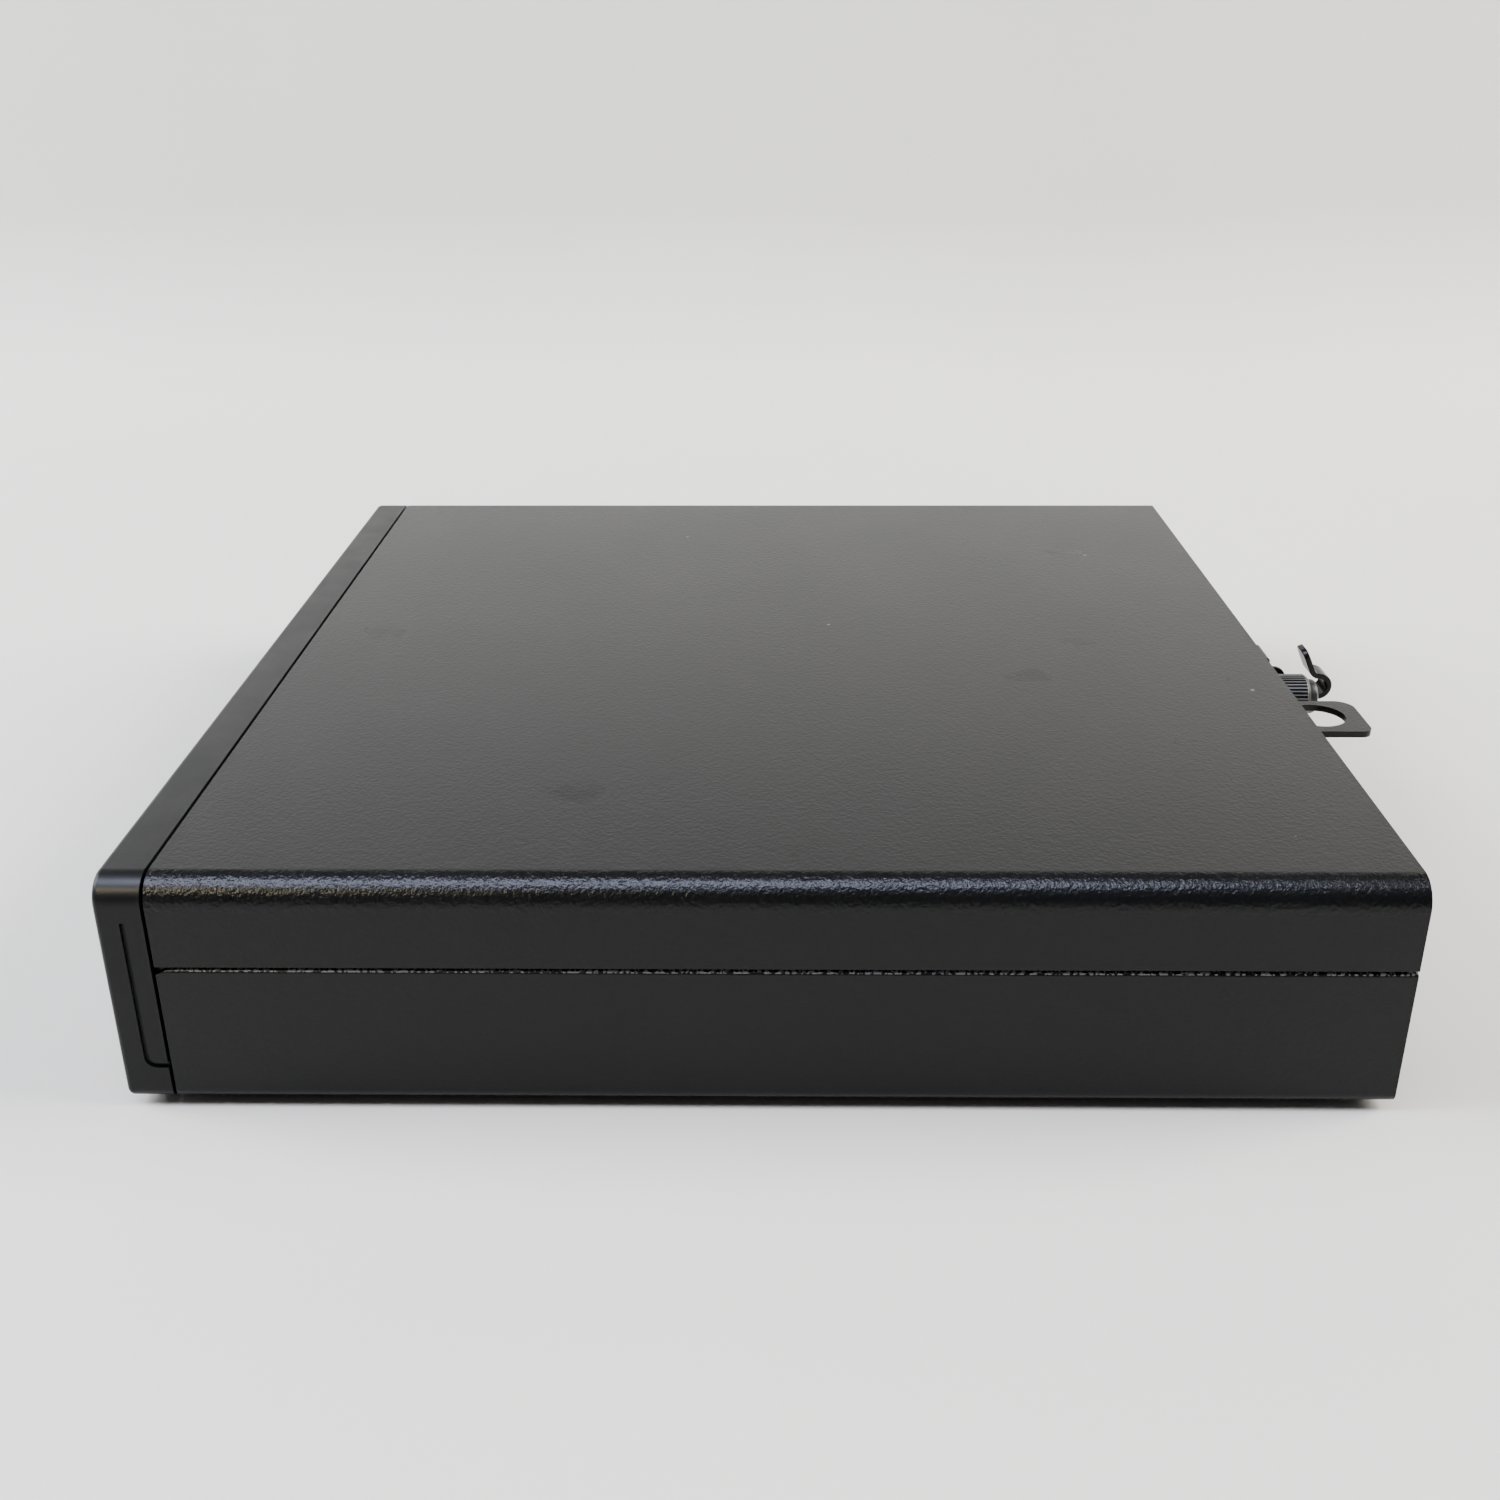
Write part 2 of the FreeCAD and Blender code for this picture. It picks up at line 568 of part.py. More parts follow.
def chassis_pan():
    """Floor and low side walls, folded in at the top to a flange that stands inside the cover's skirts."""
    body = new_body("chassis_pan")
    profile = sketch(body, "y", COVER_FRONT)
    polygon(profile, mirrored([
        (SIDE, FLOOR),
        (SIDE, SPLIT),
        (FLANGE, SPLIT),
        (FLANGE, FLANGE_TOP),
        (f"{FLANGE} - steel", FLANGE_TOP),
        (f"{FLANGE} - steel", f"{SPLIT} - steel"),
        (f"{SIDE} - steel", f"{SPLIT} - steel"),
        (f"{SIDE} - steel", INSIDE),
    ]))
    feature(body, "Pad", profile, f"{COVER_REAR} - {COVER_FRONT}")
    notch = sketch(body, "x", less(f"{SIDE} + slip"))
    polygon(notch, [
        (COVER_FRONT, f"{SPLIT} - notch_drop"),
        (f"{COVER_FRONT} + notch_run", SPLIT),
        (COVER_FRONT, SPLIT),
    ])
    feature(body, "Pocket", notch, "body_width + 2 * slip")
    holes = sketch(body, "z", FLOOR)
    for x in ("-vesa_pitch / 2", "vesa_pitch / 2"):
        for y in ("-", "+"):
            circle(holes, x, f"{MIDDLE} {y} vesa_pitch / 2", "vesa_radius")
    feature(body, "Pocket", holes, "steel")
    slot = sketch(body, "z", FLOOR)
    start = "(sink_x - 2 * floor_vent_pitch - floor_vent_width / 2)"
    rectangle(
        slot,
        (start, f"{start} + floor_vent_width"),
        (f"{SINK_Y} - floor_vent_length / 2 - 8", f"{SINK_Y} + floor_vent_length / 2 - 8"),
    )
    cutter = feature(body, "Pocket", slot, "steel")
    pattern(body, cutter, slot, "4 * floor_vent_pitch", "5")
    inner = size["body_width"] / 2 - size["steel"]
    low_inside = size["foot_height"] + size["steel"]
    shoulder = size["foot_height"] + size["body_height"] - size["skirt_height"] - size["split_gap"]
    fillet(body, "pan_bend", lambda e, b: runs(e, "y") and near(e.CenterOfMass.z, b.ZMin)
           and near(abs(e.CenterOfMass.x), b.XMax))
    fillet(body, "pan_bend - steel", lambda e, b: runs(e, "y") and near(e.CenterOfMass.z, low_inside)
           and near(abs(e.CenterOfMass.x), inner))
    fillet(body, "fold_radius", lambda e, b: runs(e, "y") and near(e.CenterOfMass.z, shoulder)
           and near(abs(e.CenterOfMass.x), b.XMax))


def top_cover():
    """Top and half-height skirts in one sheet, with two front tongues and a rear tab for the thumbscrew."""
    body = new_body("top_cover")
    profile = sketch(body, "y", COVER_FRONT)
    hem = f"({TOP} - skirt_height)"
    polygon(profile, [
        (SIDE, hem),
        (SIDE, TOP),
        (less(SIDE), TOP),
        (less(SIDE), hem),
        (f"-{SIDE} + steel", hem),
        (f"-{SIDE} + steel", f"{TOP} - steel"),
        (f"{SIDE} - steel", f"{TOP} - steel"),
        (f"{SIDE} - steel", hem),
    ])
    feature(body, "Pad", profile, f"{COVER_REAR} - {COVER_FRONT}")
    inner = size["body_width"] / 2 - size["steel"]
    fillet(body, "cover_bend", lambda e, b: runs(e, "y") and near(e.CenterOfMass.z, b.ZMax))
    fillet(body, "cover_bend - steel", lambda e, b: runs(e, "y") and near(abs(e.CenterOfMass.x), inner)
           and near(e.CenterOfMass.z, b.ZMax - size["steel"]))
    tab = sketch(body, "x", "-tab_left")
    outer = f"({COVER_REAR} + tab_reach)"
    polygon(tab, [
        (f"{COVER_REAR} - steel", TOP),
        (outer, TOP),
        (outer, f"{TOP} - tab_drop"),
        (f"{outer} - steel", f"{TOP} - tab_drop"),
        (f"{outer} - steel", f"{TOP} - steel"),
        (f"{COVER_REAR} - steel", f"{TOP} - steel"),
    ])
    feature(body, "Pad", tab, "tab_left + tab_right")
    relief = sketch(body, "y", COVER_REAR)
    rectangle(relief, ("-tab_left", "tab_neck"), (f"{TOP} - tab_relief", TOP))
    feature(body, "Pocket", relief, "tab_reach")
    for side in ("-", ""):
        tongue = sketch(body, "x", f"{side}tongue_offset - tongue_width / 2")
        back = f"({COVER_FRONT} + tongue_back)"
        low = f"({TOP} - tongue_level - steel)"
        polygon(tongue, [
            (f"{COVER_FRONT} - tongue_front", low),
            (back, low),
            (back, f"{TOP} - steel / 2"),
            (f"{back} - steel", f"{TOP} - steel / 2"),
            (f"{back} - steel", f"{low} + steel"),
            (f"{COVER_FRONT} - tongue_front", f"{low} + steel"),
        ])
        feature(body, "Pad", tongue, "tongue_width")
    hole = sketch(body, "y", f"{COVER_REAR} + tab_reach - steel")
    circle(hole, "0", SCREW_LEVEL, "neck_radius + bore_gap")
    feature(body, "Pocket", hole, "steel")
    fillet(body, "tab_bend", lambda e, b: runs(e, "x") and near(e.CenterOfMass.z, b.ZMax)
           and near(e.CenterOfMass.y, b.YMax))


def rear_panel():
    """Rear wall with the connectors' windows, vent holes and the hardware's slots."""
    body = new_body("rear_panel")
    half = f"({FLANGE} - steel - fit / 2)"
    wall = sketch(body, "y", PANEL_IN)
    rectangle(wall, (less(half), half), (INSIDE, PANEL_TOP))
    feature(body, "Pad", wall, "steel")
    round_upper_corners(body)
    foot = sketch(body, "y", f"{PANEL} - panel_flange")
    rectangle(foot, (less(half), half), (INSIDE, f"{INSIDE} + steel"))
    feature(body, "Pad", foot, "panel_flange")
    windows = sketch(body, "y", PANEL_IN)
    tongue_slots(windows)
    for name, port in (("dc", "dc"), ("usb_near", "usb"), ("usb_far", "usb"), ("ether", "ether"),
                       ("video_near", "video"), ("video_far", "video")):
        window(windows, f"{name}_x", f"{port}_wide", BOARD_TOP, f"{BOARD_TOP} + {port}_tall")
    window(windows, "blank_x", "blank_wide", BOARD_TOP, f"{BOARD_TOP} + blank_tall")
    window(windows, "(loop_left + loop_width / 2)", "loop_width",
           f"{TOP} - loop_drop - loop_thick / 2", f"{TOP} - loop_drop + loop_thick / 2")
    window(windows, "(-hook_near - hook_width / 2)", "hook_width", f"{TOP} - hook_drop",
           f"{TOP} - hook_drop + ear_rise")
    rectangle(windows, ("lock_x - 3.5", "lock_x + 3.5"),
              (f"{TOP} - lock_drop - 1.5", f"{TOP} - lock_drop + 1.5"))
    circle(windows, "0", SCREW_LEVEL, "insert_radius")
    circle(windows, "plug_x", f"{TOP} - plug_drop", "plug_radius + fit / 2")
    feature(body, "Pocket", windows, "steel")
    for side in ("", "-"):
        hole = sketch(body, "y", PANEL_IN)
        start = "exhaust_start" if side == "" else "-(exhaust_start - 8)"
        circle(hole, start, f"{TOP} - exhaust_drop - exhaust_pitch * (exhaust_rows - 1)", "exhaust_radius")
        cutter = feature(body, "Pocket", hole, "steel")
        columns = "exhaust_columns" if side == "" else "8"
        vents = pattern(body, cutter, hole, f"exhaust_pitch * ({columns} - 1)", columns,
                        "exhaust_pitch * (exhaust_rows - 1)", "exhaust_rows")
        vents.Reversed = side == "-"


def front_plate():
    """Steel wall behind the bezel, with the front connectors' windows and air slots."""
    body = new_body("front_plate")
    half = f"({FLANGE} - steel - fit / 2)"
    wall = sketch(body, "y", PLATE)
    rectangle(wall, (less(half), half), (INSIDE, PANEL_TOP))
    feature(body, "Pad", wall, "steel")
    round_upper_corners(body)
    windows = sketch(body, "y", PLATE)
    tongue_slots(windows)
    window(windows, "front_usb_near_x", "front_usb_wide", BOARD_TOP, f"{BOARD_TOP} + front_usb_tall")
    window(windows, "front_usb_far_x", "front_usb_wide", BOARD_TOP, f"{BOARD_TOP} + front_usb_tall")
    window(windows, "small_usb_x", "small_usb_wide", BOARD_TOP, f"{BOARD_TOP} + small_usb_tall")
    for name in ("jack_near_x", "jack_far_x"):
        circle(windows, name, f"{BOARD_TOP} + jack_side / 2", "jack_nose + fit")
    circle(windows, "button_x", BUTTON_LEVEL, "button_stem + 2 * fit")
    circle(windows, "lamp_x", BUTTON_LEVEL, "lamp_radius + fit / 2")
    for x in ("antenna_near_x", "antenna_far_x"):
        circle(windows, f"{x} + antenna_wide / 2 + 2", f"{BOARD_TOP} + 2", "2 * lead_radius")
    for side in ("-", ""):
        clip = f"({side}clip_offset)"
        rectangle(windows, (f"{clip} - clip_width / 2 - fit", f"{clip} + clip_width / 2 + fit"),
                  (f"{FLOOR} + bezel_wall", f"{FLOOR} + bezel_wall + clip_thick + clip_barb + fit"))
    feature(body, "Pocket", windows, "steel")
    slot = sketch(body, "y", PLATE)
    start = f"(-{SIDE} + vent_margin)"
    rectangle(slot, (f"{start} - vent_width / 2 - fit", f"{start} + vent_width / 2 + fit"),
              (f"{FLOOR} + vent_low", f"{FLOOR} + vent_high - 2"))
    cutter = feature(body, "Pocket", slot, "steel")
    pattern(body, cutter, slot, VENT_SPAN, VENT_COUNT)


def front_bezel():
    """Moulded front, hollow behind, with air slots, connector openings and a shallow recess on each side."""
    body = new_body("front_bezel")
    outline = sketch(body, "y", FRONT)
    rectangle(outline, (less(SIDE), SIDE), (FLOOR, TOP))
    feature(body, "Pad", outline, "bezel_depth")
    fillet(body, "cover_bend", lambda e, b: runs(e, "y") and near(e.CenterOfMass.z, b.ZMax))
    fillet(body, "pan_bend", lambda e, b: runs(e, "y") and near(e.CenterOfMass.z, b.ZMin))
    fillet(body, "bezel_edge", lambda e, b: near(e.BoundBox.YMin, b.YMin) and near(e.BoundBox.YMax, b.YMin))
    hollow = sketch(body, "y", f"{FRONT} + bezel_face")
    shrink = f"({SIDE} - bezel_wall)"
    polygon(hollow, mirrored([
        (shrink, f"{FLOOR} + bezel_wall"),
        (shrink, f"{TOP} - cover_bend"),
        (f"{SIDE} - cover_bend", f"{TOP} - bezel_wall"),
    ]))
    feature(body, "Pocket", hollow, "bezel_depth - bezel_face")
    for side in ("-", ""):
        recess = sketch(body, "x", less(SIDE) if side else f"{SIDE} - recess_deep")
        rear = f"({FRONT} + bezel_depth)"
        polygon(recess, [
            (rear, f"{FLOOR} + recess_foot"),
            (rear, f"{TOP} - recess_top"),
            (f"{rear} - recess_run", f"{TOP} - recess_top"),
            (f"{rear} - recess_run", f"{FLOOR} + recess_foot + recess_corner"),
            (f"{rear} - recess_run + recess_corner * 0.3", f"{FLOOR} + recess_foot + recess_corner * 0.3"),
            (f"{rear} - recess_run + recess_corner", f"{FLOOR} + recess_foot"),
        ])
        feature(body, "Pocket", recess, "recess_deep")
    openings = sketch(body, "y", FRONT)
    window(openings, "front_usb_near_x", "front_usb_wide", BOARD_TOP, f"{BOARD_TOP} + front_usb_tall")
    window(openings, "front_usb_far_x", "front_usb_wide", BOARD_TOP, f"{BOARD_TOP} + front_usb_tall")
    window(openings, "small_usb_x", "small_usb_wide", BOARD_TOP, f"{BOARD_TOP} + small_usb_tall")
    for name in ("jack_near_x", "jack_far_x"):
        circle(openings, name, f"{BOARD_TOP} + jack_side / 2", "jack_nose + fit")
    circle(openings, "button_x", BUTTON_LEVEL, "button_radius + slip")
    circle(openings, "lamp_x", BUTTON_LEVEL, "lamp_radius + fit / 2")
    feature(body, "Pocket", openings, "bezel_face")
    slot = sketch(body, "y", FRONT)
    start = f"(-{SIDE} + vent_margin)"
    rectangle(slot, (f"{start} - vent_width / 2", f"{start} + vent_width / 2"),
              (f"{FLOOR} + vent_low", f"{FLOOR} + vent_high"))
    cutter = feature(body, "Pocket", slot, "bezel_face")
    pattern(body, cutter, slot, VENT_SPAN, VENT_COUNT)
    for side in ("-", ""):
        clip = sketch(body, "x", f"{side}clip_offset - clip_width / 2")
        root = f"({FRONT} + bezel_face)"
        tip = f"({FRONT} + bezel_depth + clip_reach)"
        low = f"({FLOOR} + bezel_wall)"
        polygon(clip, [
            (root, low),
            (tip, low),
            (tip, f"{low} + clip_thick"),
            (f"{PLATE} + steel + fit", f"{low} + clip_thick + clip_barb"),
            (f"{PLATE} + steel + fit", f"{low} + clip_thick"),
            (root, f"{low} + clip_thick"),
        ])
        feature(body, "Pad", clip, "clip_width")


def rubber_feet():
    """Four round stick-on feet, one near each corner of the floor."""
    feet = []
    for side in ("-", ""):
        for x in ("-", "+"):
            y = f"{MIDDLE} {x} (body_depth / 2 - foot_inset)"
            feet.append(rod("foot_radius", "foot_height", f"{side}({SIDE} - foot_inset)", y, "0"))
    subpart("rubber_feet", group(*feet))


# The rear hardware.

def thumbscrew():
    """Captive knurled screw: stepped grip, plain neck and a short thread."""
    body = new_body("thumbscrew")
    profile = sketch(body, "x")
    rear = COVER_REAR
    outline = [
        ("0", f"{rear} - thread_start - thread_length"),
        ("thread_radius", f"{rear} - thread_start - thread_length"),
        ("thread_radius", f"{rear} - thread_start"),
        ("neck_radius", f"{rear} - thread_start"),
        ("neck_radius", f"{rear} + grip_start"),
        ("grip_radius", f"{rear} + grip_start"),
        ("grip_radius", f"{rear} + grip_end - 0.5"),
        ("grip_radius - 0.5", f"{rear} + grip_end"),
        ("cap_radius", f"{rear} + grip_end"),
        ("cap_radius", f"{rear} + cap_end - 0.7"),
        ("cap_radius - 0.7", f"{rear} + cap_end"),
        ("0", f"{rear} + cap_end"),
    ]
    polygon(profile, [(y, f"{SCREW_LEVEL} + {radius}") for radius, y in outline])
    axis = profile.addGeometry(Part.LineSegment(Vector(0, 5, 0), Vector(1, 5, 0)), True)
    ties = profile.addConstraint([
        Sketcher.Constraint("Horizontal", axis),
        Sketcher.Constraint("DistanceX", -1, 1, axis, 1, 0.0),
        Sketcher.Constraint("DistanceX", axis, 1, axis, 2, 1.0),
        Sketcher.Constraint("DistanceY", -1, 1, axis, 1, 5.0),
    ])
    profile.setExpression(f"Constraints[{ties[3]}]", linked(SCREW_LEVEL))
    turned = body.newObject("PartDesign::Revolution", "Revolution")
    turned.Profile = profile
    turned.ReferenceAxis = (profile, ["Axis0"])
    groove = sketch(body, "y", f"{rear} + grip_start + 0.6")
    polygon(groove, [
        ("0", f"{SCREW_LEVEL} + grip_radius - knurl_depth"),
        ("0.16", f"{SCREW_LEVEL} + grip_radius + knurl_depth"),
        ("-0.16", f"{SCREW_LEVEL} + grip_radius + knurl_depth"),
    ])
    line = groove.addGeometry(Part.Point(Vector(0, 1, 0)), True)
    tie = groove.addConstraint(Sketcher.Constraint("DistanceY", -1, 1, line, 1, 1.0))
    groove.addConstraint(Sketcher.Constraint("DistanceX", -1, 1, line, 1, 0.0))
    groove.setExpression(f"Constraints[{tie}]", linked(SCREW_LEVEL))
    cutter = feature(body, "Pocket", groove, "grip_end - grip_start - 1.2")
    knurl = body.newObject("PartDesign::PolarPattern", "PolarPattern")
    knurl.Originals = [cutter]
    knurl.Axis = (profile, ["Axis0"])
    knurl.Angle = 360
    knurl.setExpression("Occurrences", linked("knurl_count"))
    body.Tip = knurl


def screw_washer():
    """Washer that stays on the thumbscrew's neck and moves in and out with it."""
    start = f"({COVER_REAR} + tab_reach + fit / 4)"
    disc = rod("washer_radius", "washer_thick", "0", start, SCREW_LEVEL, "y")
    hole = rod("neck_radius + bore_gap", "washer_thick", "0", start, SCREW_LEVEL, "y")
    subpart("screw_washer", cut(disc, hole))


def screw_insert():
    """Flanged insert pressed into the rear panel that takes the thumbscrew."""
    end = f"({PANEL} - insert_length)"
    barrel = rod("insert_radius", "insert_length", "0", end, SCREW_LEVEL, "y")
    flange = rod("insert_flange", "steel", "0", f"{PANEL_IN} - steel", SCREW_LEVEL, "y")
    hole = rod("thread_radius + bore_gap", "insert_length", "0", end, SCREW_LEVEL, "y")
    subpart("screw_insert", cut(join(barrel, flange), hole))


def padlock_loop():
    """Flat loop through the rear panel, bent down behind it, with a hole for a shackle."""
    body = new_body("padlock_loop")
    low = f"({TOP} - loop_drop - loop_thick / 2)"
    right = "(loop_left + loop_width)"
    plate = sketch(body, "z", low)
    rectangle(plate, ("loop_left", right), (f"{PANEL_IN} - loop_thick", f"{COVER_REAR} + loop_reach"))
    feature(body, "Pad", plate, "loop_thick")
    leg = sketch(body, "y", f"{PANEL_IN} - loop_thick")
    rectangle(leg, ("loop_left", right), (f"{low} - loop_leg", low))
    feature(body, "Pad", leg, "loop_thick")
    hole = sketch(body, "z", low)
    circle(hole, "loop_left + loop_hole_side", f"{COVER_REAR} + loop_hole_out", "loop_hole")
    feature(body, "Pocket", hole, "loop_thick")
    fillet(body, "loop_corner_left", lambda e, b: runs(e, "z") and near(e.CenterOfMass.y, b.YMax)
           and near(e.CenterOfMass.x, b.XMin))
    fillet(body, "loop_corner_right", lambda e, b: runs(e, "z") and near(e.CenterOfMass.y, b.YMax)
           and near(e.CenterOfMass.x, b.XMax))


def cord_hook():
    """Spring-steel strip curled back over itself, with a lifted tongue and an ear at its root."""
    half = size["hook_thick"] / 2
    rear = (size["body_depth"] - size["hook_reach"]) / 2
    top = size["foot_height"] + size["body_height"]
    start = Vector(0, rear - size["panel_inset"] - size["steel"], top - size["hook_drop"] + half)
    curl = size["hook_curl"] - half
    throat = size["hook_throat"] - half
    centre = Vector(0, rear + size["hook_reach"] - size["hook_curl"], start.z + curl)
    bend = math.radians(size["hook_turn"])
    low = Vector(0, centre.y, start.z)
    high = Vector(0, centre.y, centre.z + curl)
    lift = Vector(0, centre.y - throat * math.sin(bend), high.z + throat * (1 - math.cos(bend)))
    half_way = Vector(0, centre.y - throat * math.sin(bend / 2), high.z + throat * (1 - math.cos(bend / 2)))
    tip = lift + Vector(0, -math.cos(bend), math.sin(bend)) * size["hook_tongue"]
    path = Part.Wire([
        Part.LineSegment(start, low).toShape(),
        Part.Arc(low, Vector(0, centre.y + curl, centre.z), high).toShape(),
        Part.Arc(high, half_way, lift).toShape(),
        Part.LineSegment(lift, tip).toShape(),
    ])
    left = -size["hook_near"] - size["hook_width"]
    right = -size["hook_near"]
    corners = [Vector(left, start.y, start.z - half), Vector(right, start.y, start.z - half),
               Vector(right, start.y, start.z + half), Vector(left, start.y, start.z + half)]
    section = Part.makePolygon(corners + corners[:1])
    strip = path.makePipeShell([section], True, False)
    ends = [edge for edge in strip.Edges if near(edge.Length,
                                                 size["hook_thick"]) and edge.CenterOfMass.z > lift.z + 1]
    strip = strip.makeFillet(size["hook_width"] * 0.35, ends)
    ear_low = start.z - half
    ear = [(start.y, ear_low), (rear + size["ear_reach"], ear_low),
           (rear + size["ear_reach"], ear_low + size["ear_rise"] * 0.75),
           (rear + size["ear_reach"] * 0.85, ear_low + size["ear_rise"]),
           (rear + size["ear_reach"] * 0.5, ear_low + size["ear_rise"] * 0.7),
           (start.y, ear_low + size["ear_rise"] * 0.7)]
    outline = [Vector(right, y, z) for y, z in ear]
    plate = Part.Face(Part.makePolygon(outline + outline[:1])).extrude(Vector(-size["hook_thick"], 0, 0))
    hook = doc.addObject("Part::Feature", "cord_hook")
    hook.Shape = strip.fuse(plate).removeSplitter()
    hook.Placement = Placement()
    subpart("cord_hook", hook)


def antenna_plug():
    """Push-in plug that closes the aerial's hole."""
    level = f"({TOP} - plug_drop)"
    head = rod("plug_radius + 1", "0.8", "plug_x", PANEL, level, "y")
    body = rod("plug_radius", "steel + 1.2", "plug_x", f"{PANEL_IN} - 1.2", level, "y")
    slot = box(("plug_x - 2", "plug_x + 2"), (f"{PANEL} + 0.4", f"{PANEL} + 0.8"),
               (f"{level} - 0.4", f"{level} + 0.4"))
    subpart("antenna_plug", cut(join(head, body), slot))


# The motherboard and what stands on it.

def board_holes():
    """Where the motherboard is screwed down."""
    side = "(board_width / 2 - board_hole_inset)"
    rows = [f"({BOARD_FRONT} + board_hole_inset)", f"({SINK_Y} - sink_depth / 2 + 6)", f"({BOARD_REAR} - 27)"]
    return [(less(side), rows[0]), (less(side), rows[1]), (less(side), rows[2]),
            (side, rows[0]), (side, rows[1]), (side, rows[2])]


def motherboard():
    """Main circuit board with its mounting holes."""
    half = "board_width / 2"
    slab = box((f"-{half}", half), (BOARD_FRONT, BOARD_REAR), (BOARD, BOARD_TOP))
    holes = [rod("board_hole", "board_thick", x, y, BOARD) for x, y in board_holes()]
    posts = [rod("sink_screw_radius + fit", "board_thick", x, y, BOARD) for x, y in sink_corners()]
    subpart("motherboard", cut(slab, *holes, *posts))


def board_standoffs():
    """Threaded standoffs pressed into the pan's floor."""
    pieces = []
    for x, y in board_holes():
        pieces.append(cut(rod("standoff_radius", "standoff", x, y, INSIDE),
                          rod("screw_shank", "standoff", x, y, INSIDE)))
    subpart("board_standoffs", group(*pieces))


def pan_screw(x, y, seat, tip):
    """A pan-head screw with a cross recess, its head on the seat and its end at the tip."""
    head = rod("screw_head", "screw_head_tall", x, y, seat)
    shank = rod("screw_shank", f"{seat} - {tip}", x, y, tip)
    cross = [box((f"{x} - {a}", f"{x} + {a}"), (f"{y} - {b}", f"{y} + {b}"),
                 (f"{seat} + screw_head_tall - 0.8", f"{seat} + screw_head_tall"))
             for a, b in (("1.5", "0.3"), ("0.3", "1.5"))]
    return cut(join(head, shank), *cross)


def board_screws():
    """Pan-head screws through the motherboard and through the drive cage's feet."""
    pieces = [pan_screw(x, y, BOARD_TOP, f"({BOARD} - 3)") for x, y in board_holes()]
    pieces += [pan_screw(x, y, f"({BOARD_TOP} + steel)", BOARD_TOP) for x, y in cage_feet()]
    subpart("board_screws", group(*pieces))


def processor():
    """Socket, and the processor's carrier and lid."""
    x = "sink_x"
    subpart("processor_socket", block("socket_side", "socket_side", "socket_tall", x, SINK_Y, BOARD_TOP))
    low = f"({BOARD_TOP} + socket_tall)"
    carrier = block("package_side", "package_side", "package_tall", x, SINK_Y, low)
    lid = block("lid_side", "lid_side", "lid_tall", x, SINK_Y, f"{low} + package_tall")
    subpart("processor", join(carrier, lid))


def sink_corners():
    """Where the cooler is screwed down."""
    x = "(sink_width / 2 - sink_screw_inset)"
    y = "(sink_depth / 2 - sink_screw_inset)"
    return [(f"(sink_x {a} {x})", f"({SINK_Y} {b} {y})") for a in "-+" for b in "-+"]


def heat_sink():
    """Base plate with a row of upright fins, bored at the corners."""
    body = new_body("heat_sink")
    base = sketch(body, "z", SINK_LEVEL)
    across = ("sink_x - sink_width / 2", "sink_x + sink_width / 2")
    rectangle(base, across, (f"{SINK_Y} - sink_depth / 2", f"{SINK_Y} + sink_depth / 2"))
    feature(body, "Pad", base, "sink_base")
    fin = sketch(body, "z", f"{SINK_LEVEL} + sink_base")
    inset = "(2 * sink_screw_inset)"
    start = f"(sink_x - sink_width / 2 + {inset})"
    rectangle(fin, (start, f"{start} + fin_thick"),
              (f"{SINK_Y} - sink_depth / 2", f"{SINK_Y} + sink_depth / 2"))
    blade = feature(body, "Pad", fin, "fin_tall")
    gaps = f"floor((sink_width - 2 * {inset} - fin_thick) / fin_pitch)"
    pattern(body, blade, fin, f"{gaps} * fin_pitch", f"{gaps} + 1")
    holes = sketch(body, "z", SINK_LEVEL)
    for x, y in sink_corners():
        circle(holes, x, y, "sink_screw_radius + fit")
    feature(body, "Pocket", holes, "sink_base")


def heat_sink_screws():
    """Captive screws at the cooler's corners, down through the board."""
    pieces = []
    for x, y in sink_corners():
        head = rod("3", "2.2", x, y, f"{SINK_LEVEL} + sink_base")
        shank = rod("sink_screw_radius", f"{SINK_LEVEL} + sink_base - {BOARD} + 2", x, y, f"{BOARD} - 2")
        slot = box((f"{x} - 2.2", f"{x} + 2.2"), (f"{y} - 0.4", f"{y} + 0.4"),
                   (f"{SINK_LEVEL} + sink_base + 1.2", f"{SINK_LEVEL} + sink_base + 2.2"))
        pieces.append(cut(join(head, shank), slot))
    subpart("heat_sink_screws", group(*pieces))


def fan_corners():
    """Where the fan is screwed to its frame."""
    reach = "(fan_side / 2 - fan_screw_inset)"
    return [(f"(sink_x {a} {reach})", f"({SINK_Y} {b} {reach})") for a in "-+" for b in "-+"]


def fan_housing():
    """Square frame round the duct, with a hub plate on three spokes and a spindle."""
    frame = block("fan_side", "fan_side", "fan_tall", "sink_x", SINK_Y, FAN_LEVEL)
    duct = rod("fan_bore", "fan_tall", "sink_x", SINK_Y, FAN_LEVEL)
    holes = [rod("fan_screw_radius", "fan_tall", x, y, FAN_LEVEL) for x, y in fan_corners()]
    plate = rod("hub_radius", "fan_wall", "sink_x", SINK_Y, FAN_LEVEL)
    spokes = [
        box(("sink_x - fan_bore - fan_wall", "sink_x + fan_bore + fan_wall"),
            (f"{SINK_Y} - 1.5", f"{SINK_Y} + 1.5"), (FAN_LEVEL, f"{FAN_LEVEL} + fan_wall")),
        box(("sink_x - 1.5", "sink_x + 1.5"),
            (f"{SINK_Y} - fan_bore - fan_wall", f"{SINK_Y} + fan_bore + fan_wall"),
            (FAN_LEVEL, f"{FAN_LEVEL} + fan_wall")),
    ]
    spindle = rod("spindle_radius", "fan_wall / 2 + rotor_tall - hub_cap", "sink_x", SINK_Y,
                  f"{FAN_LEVEL} + fan_wall / 2")
    subpart("fan_housing", join(cut(frame, duct, *holes), plate, *spokes, spindle))


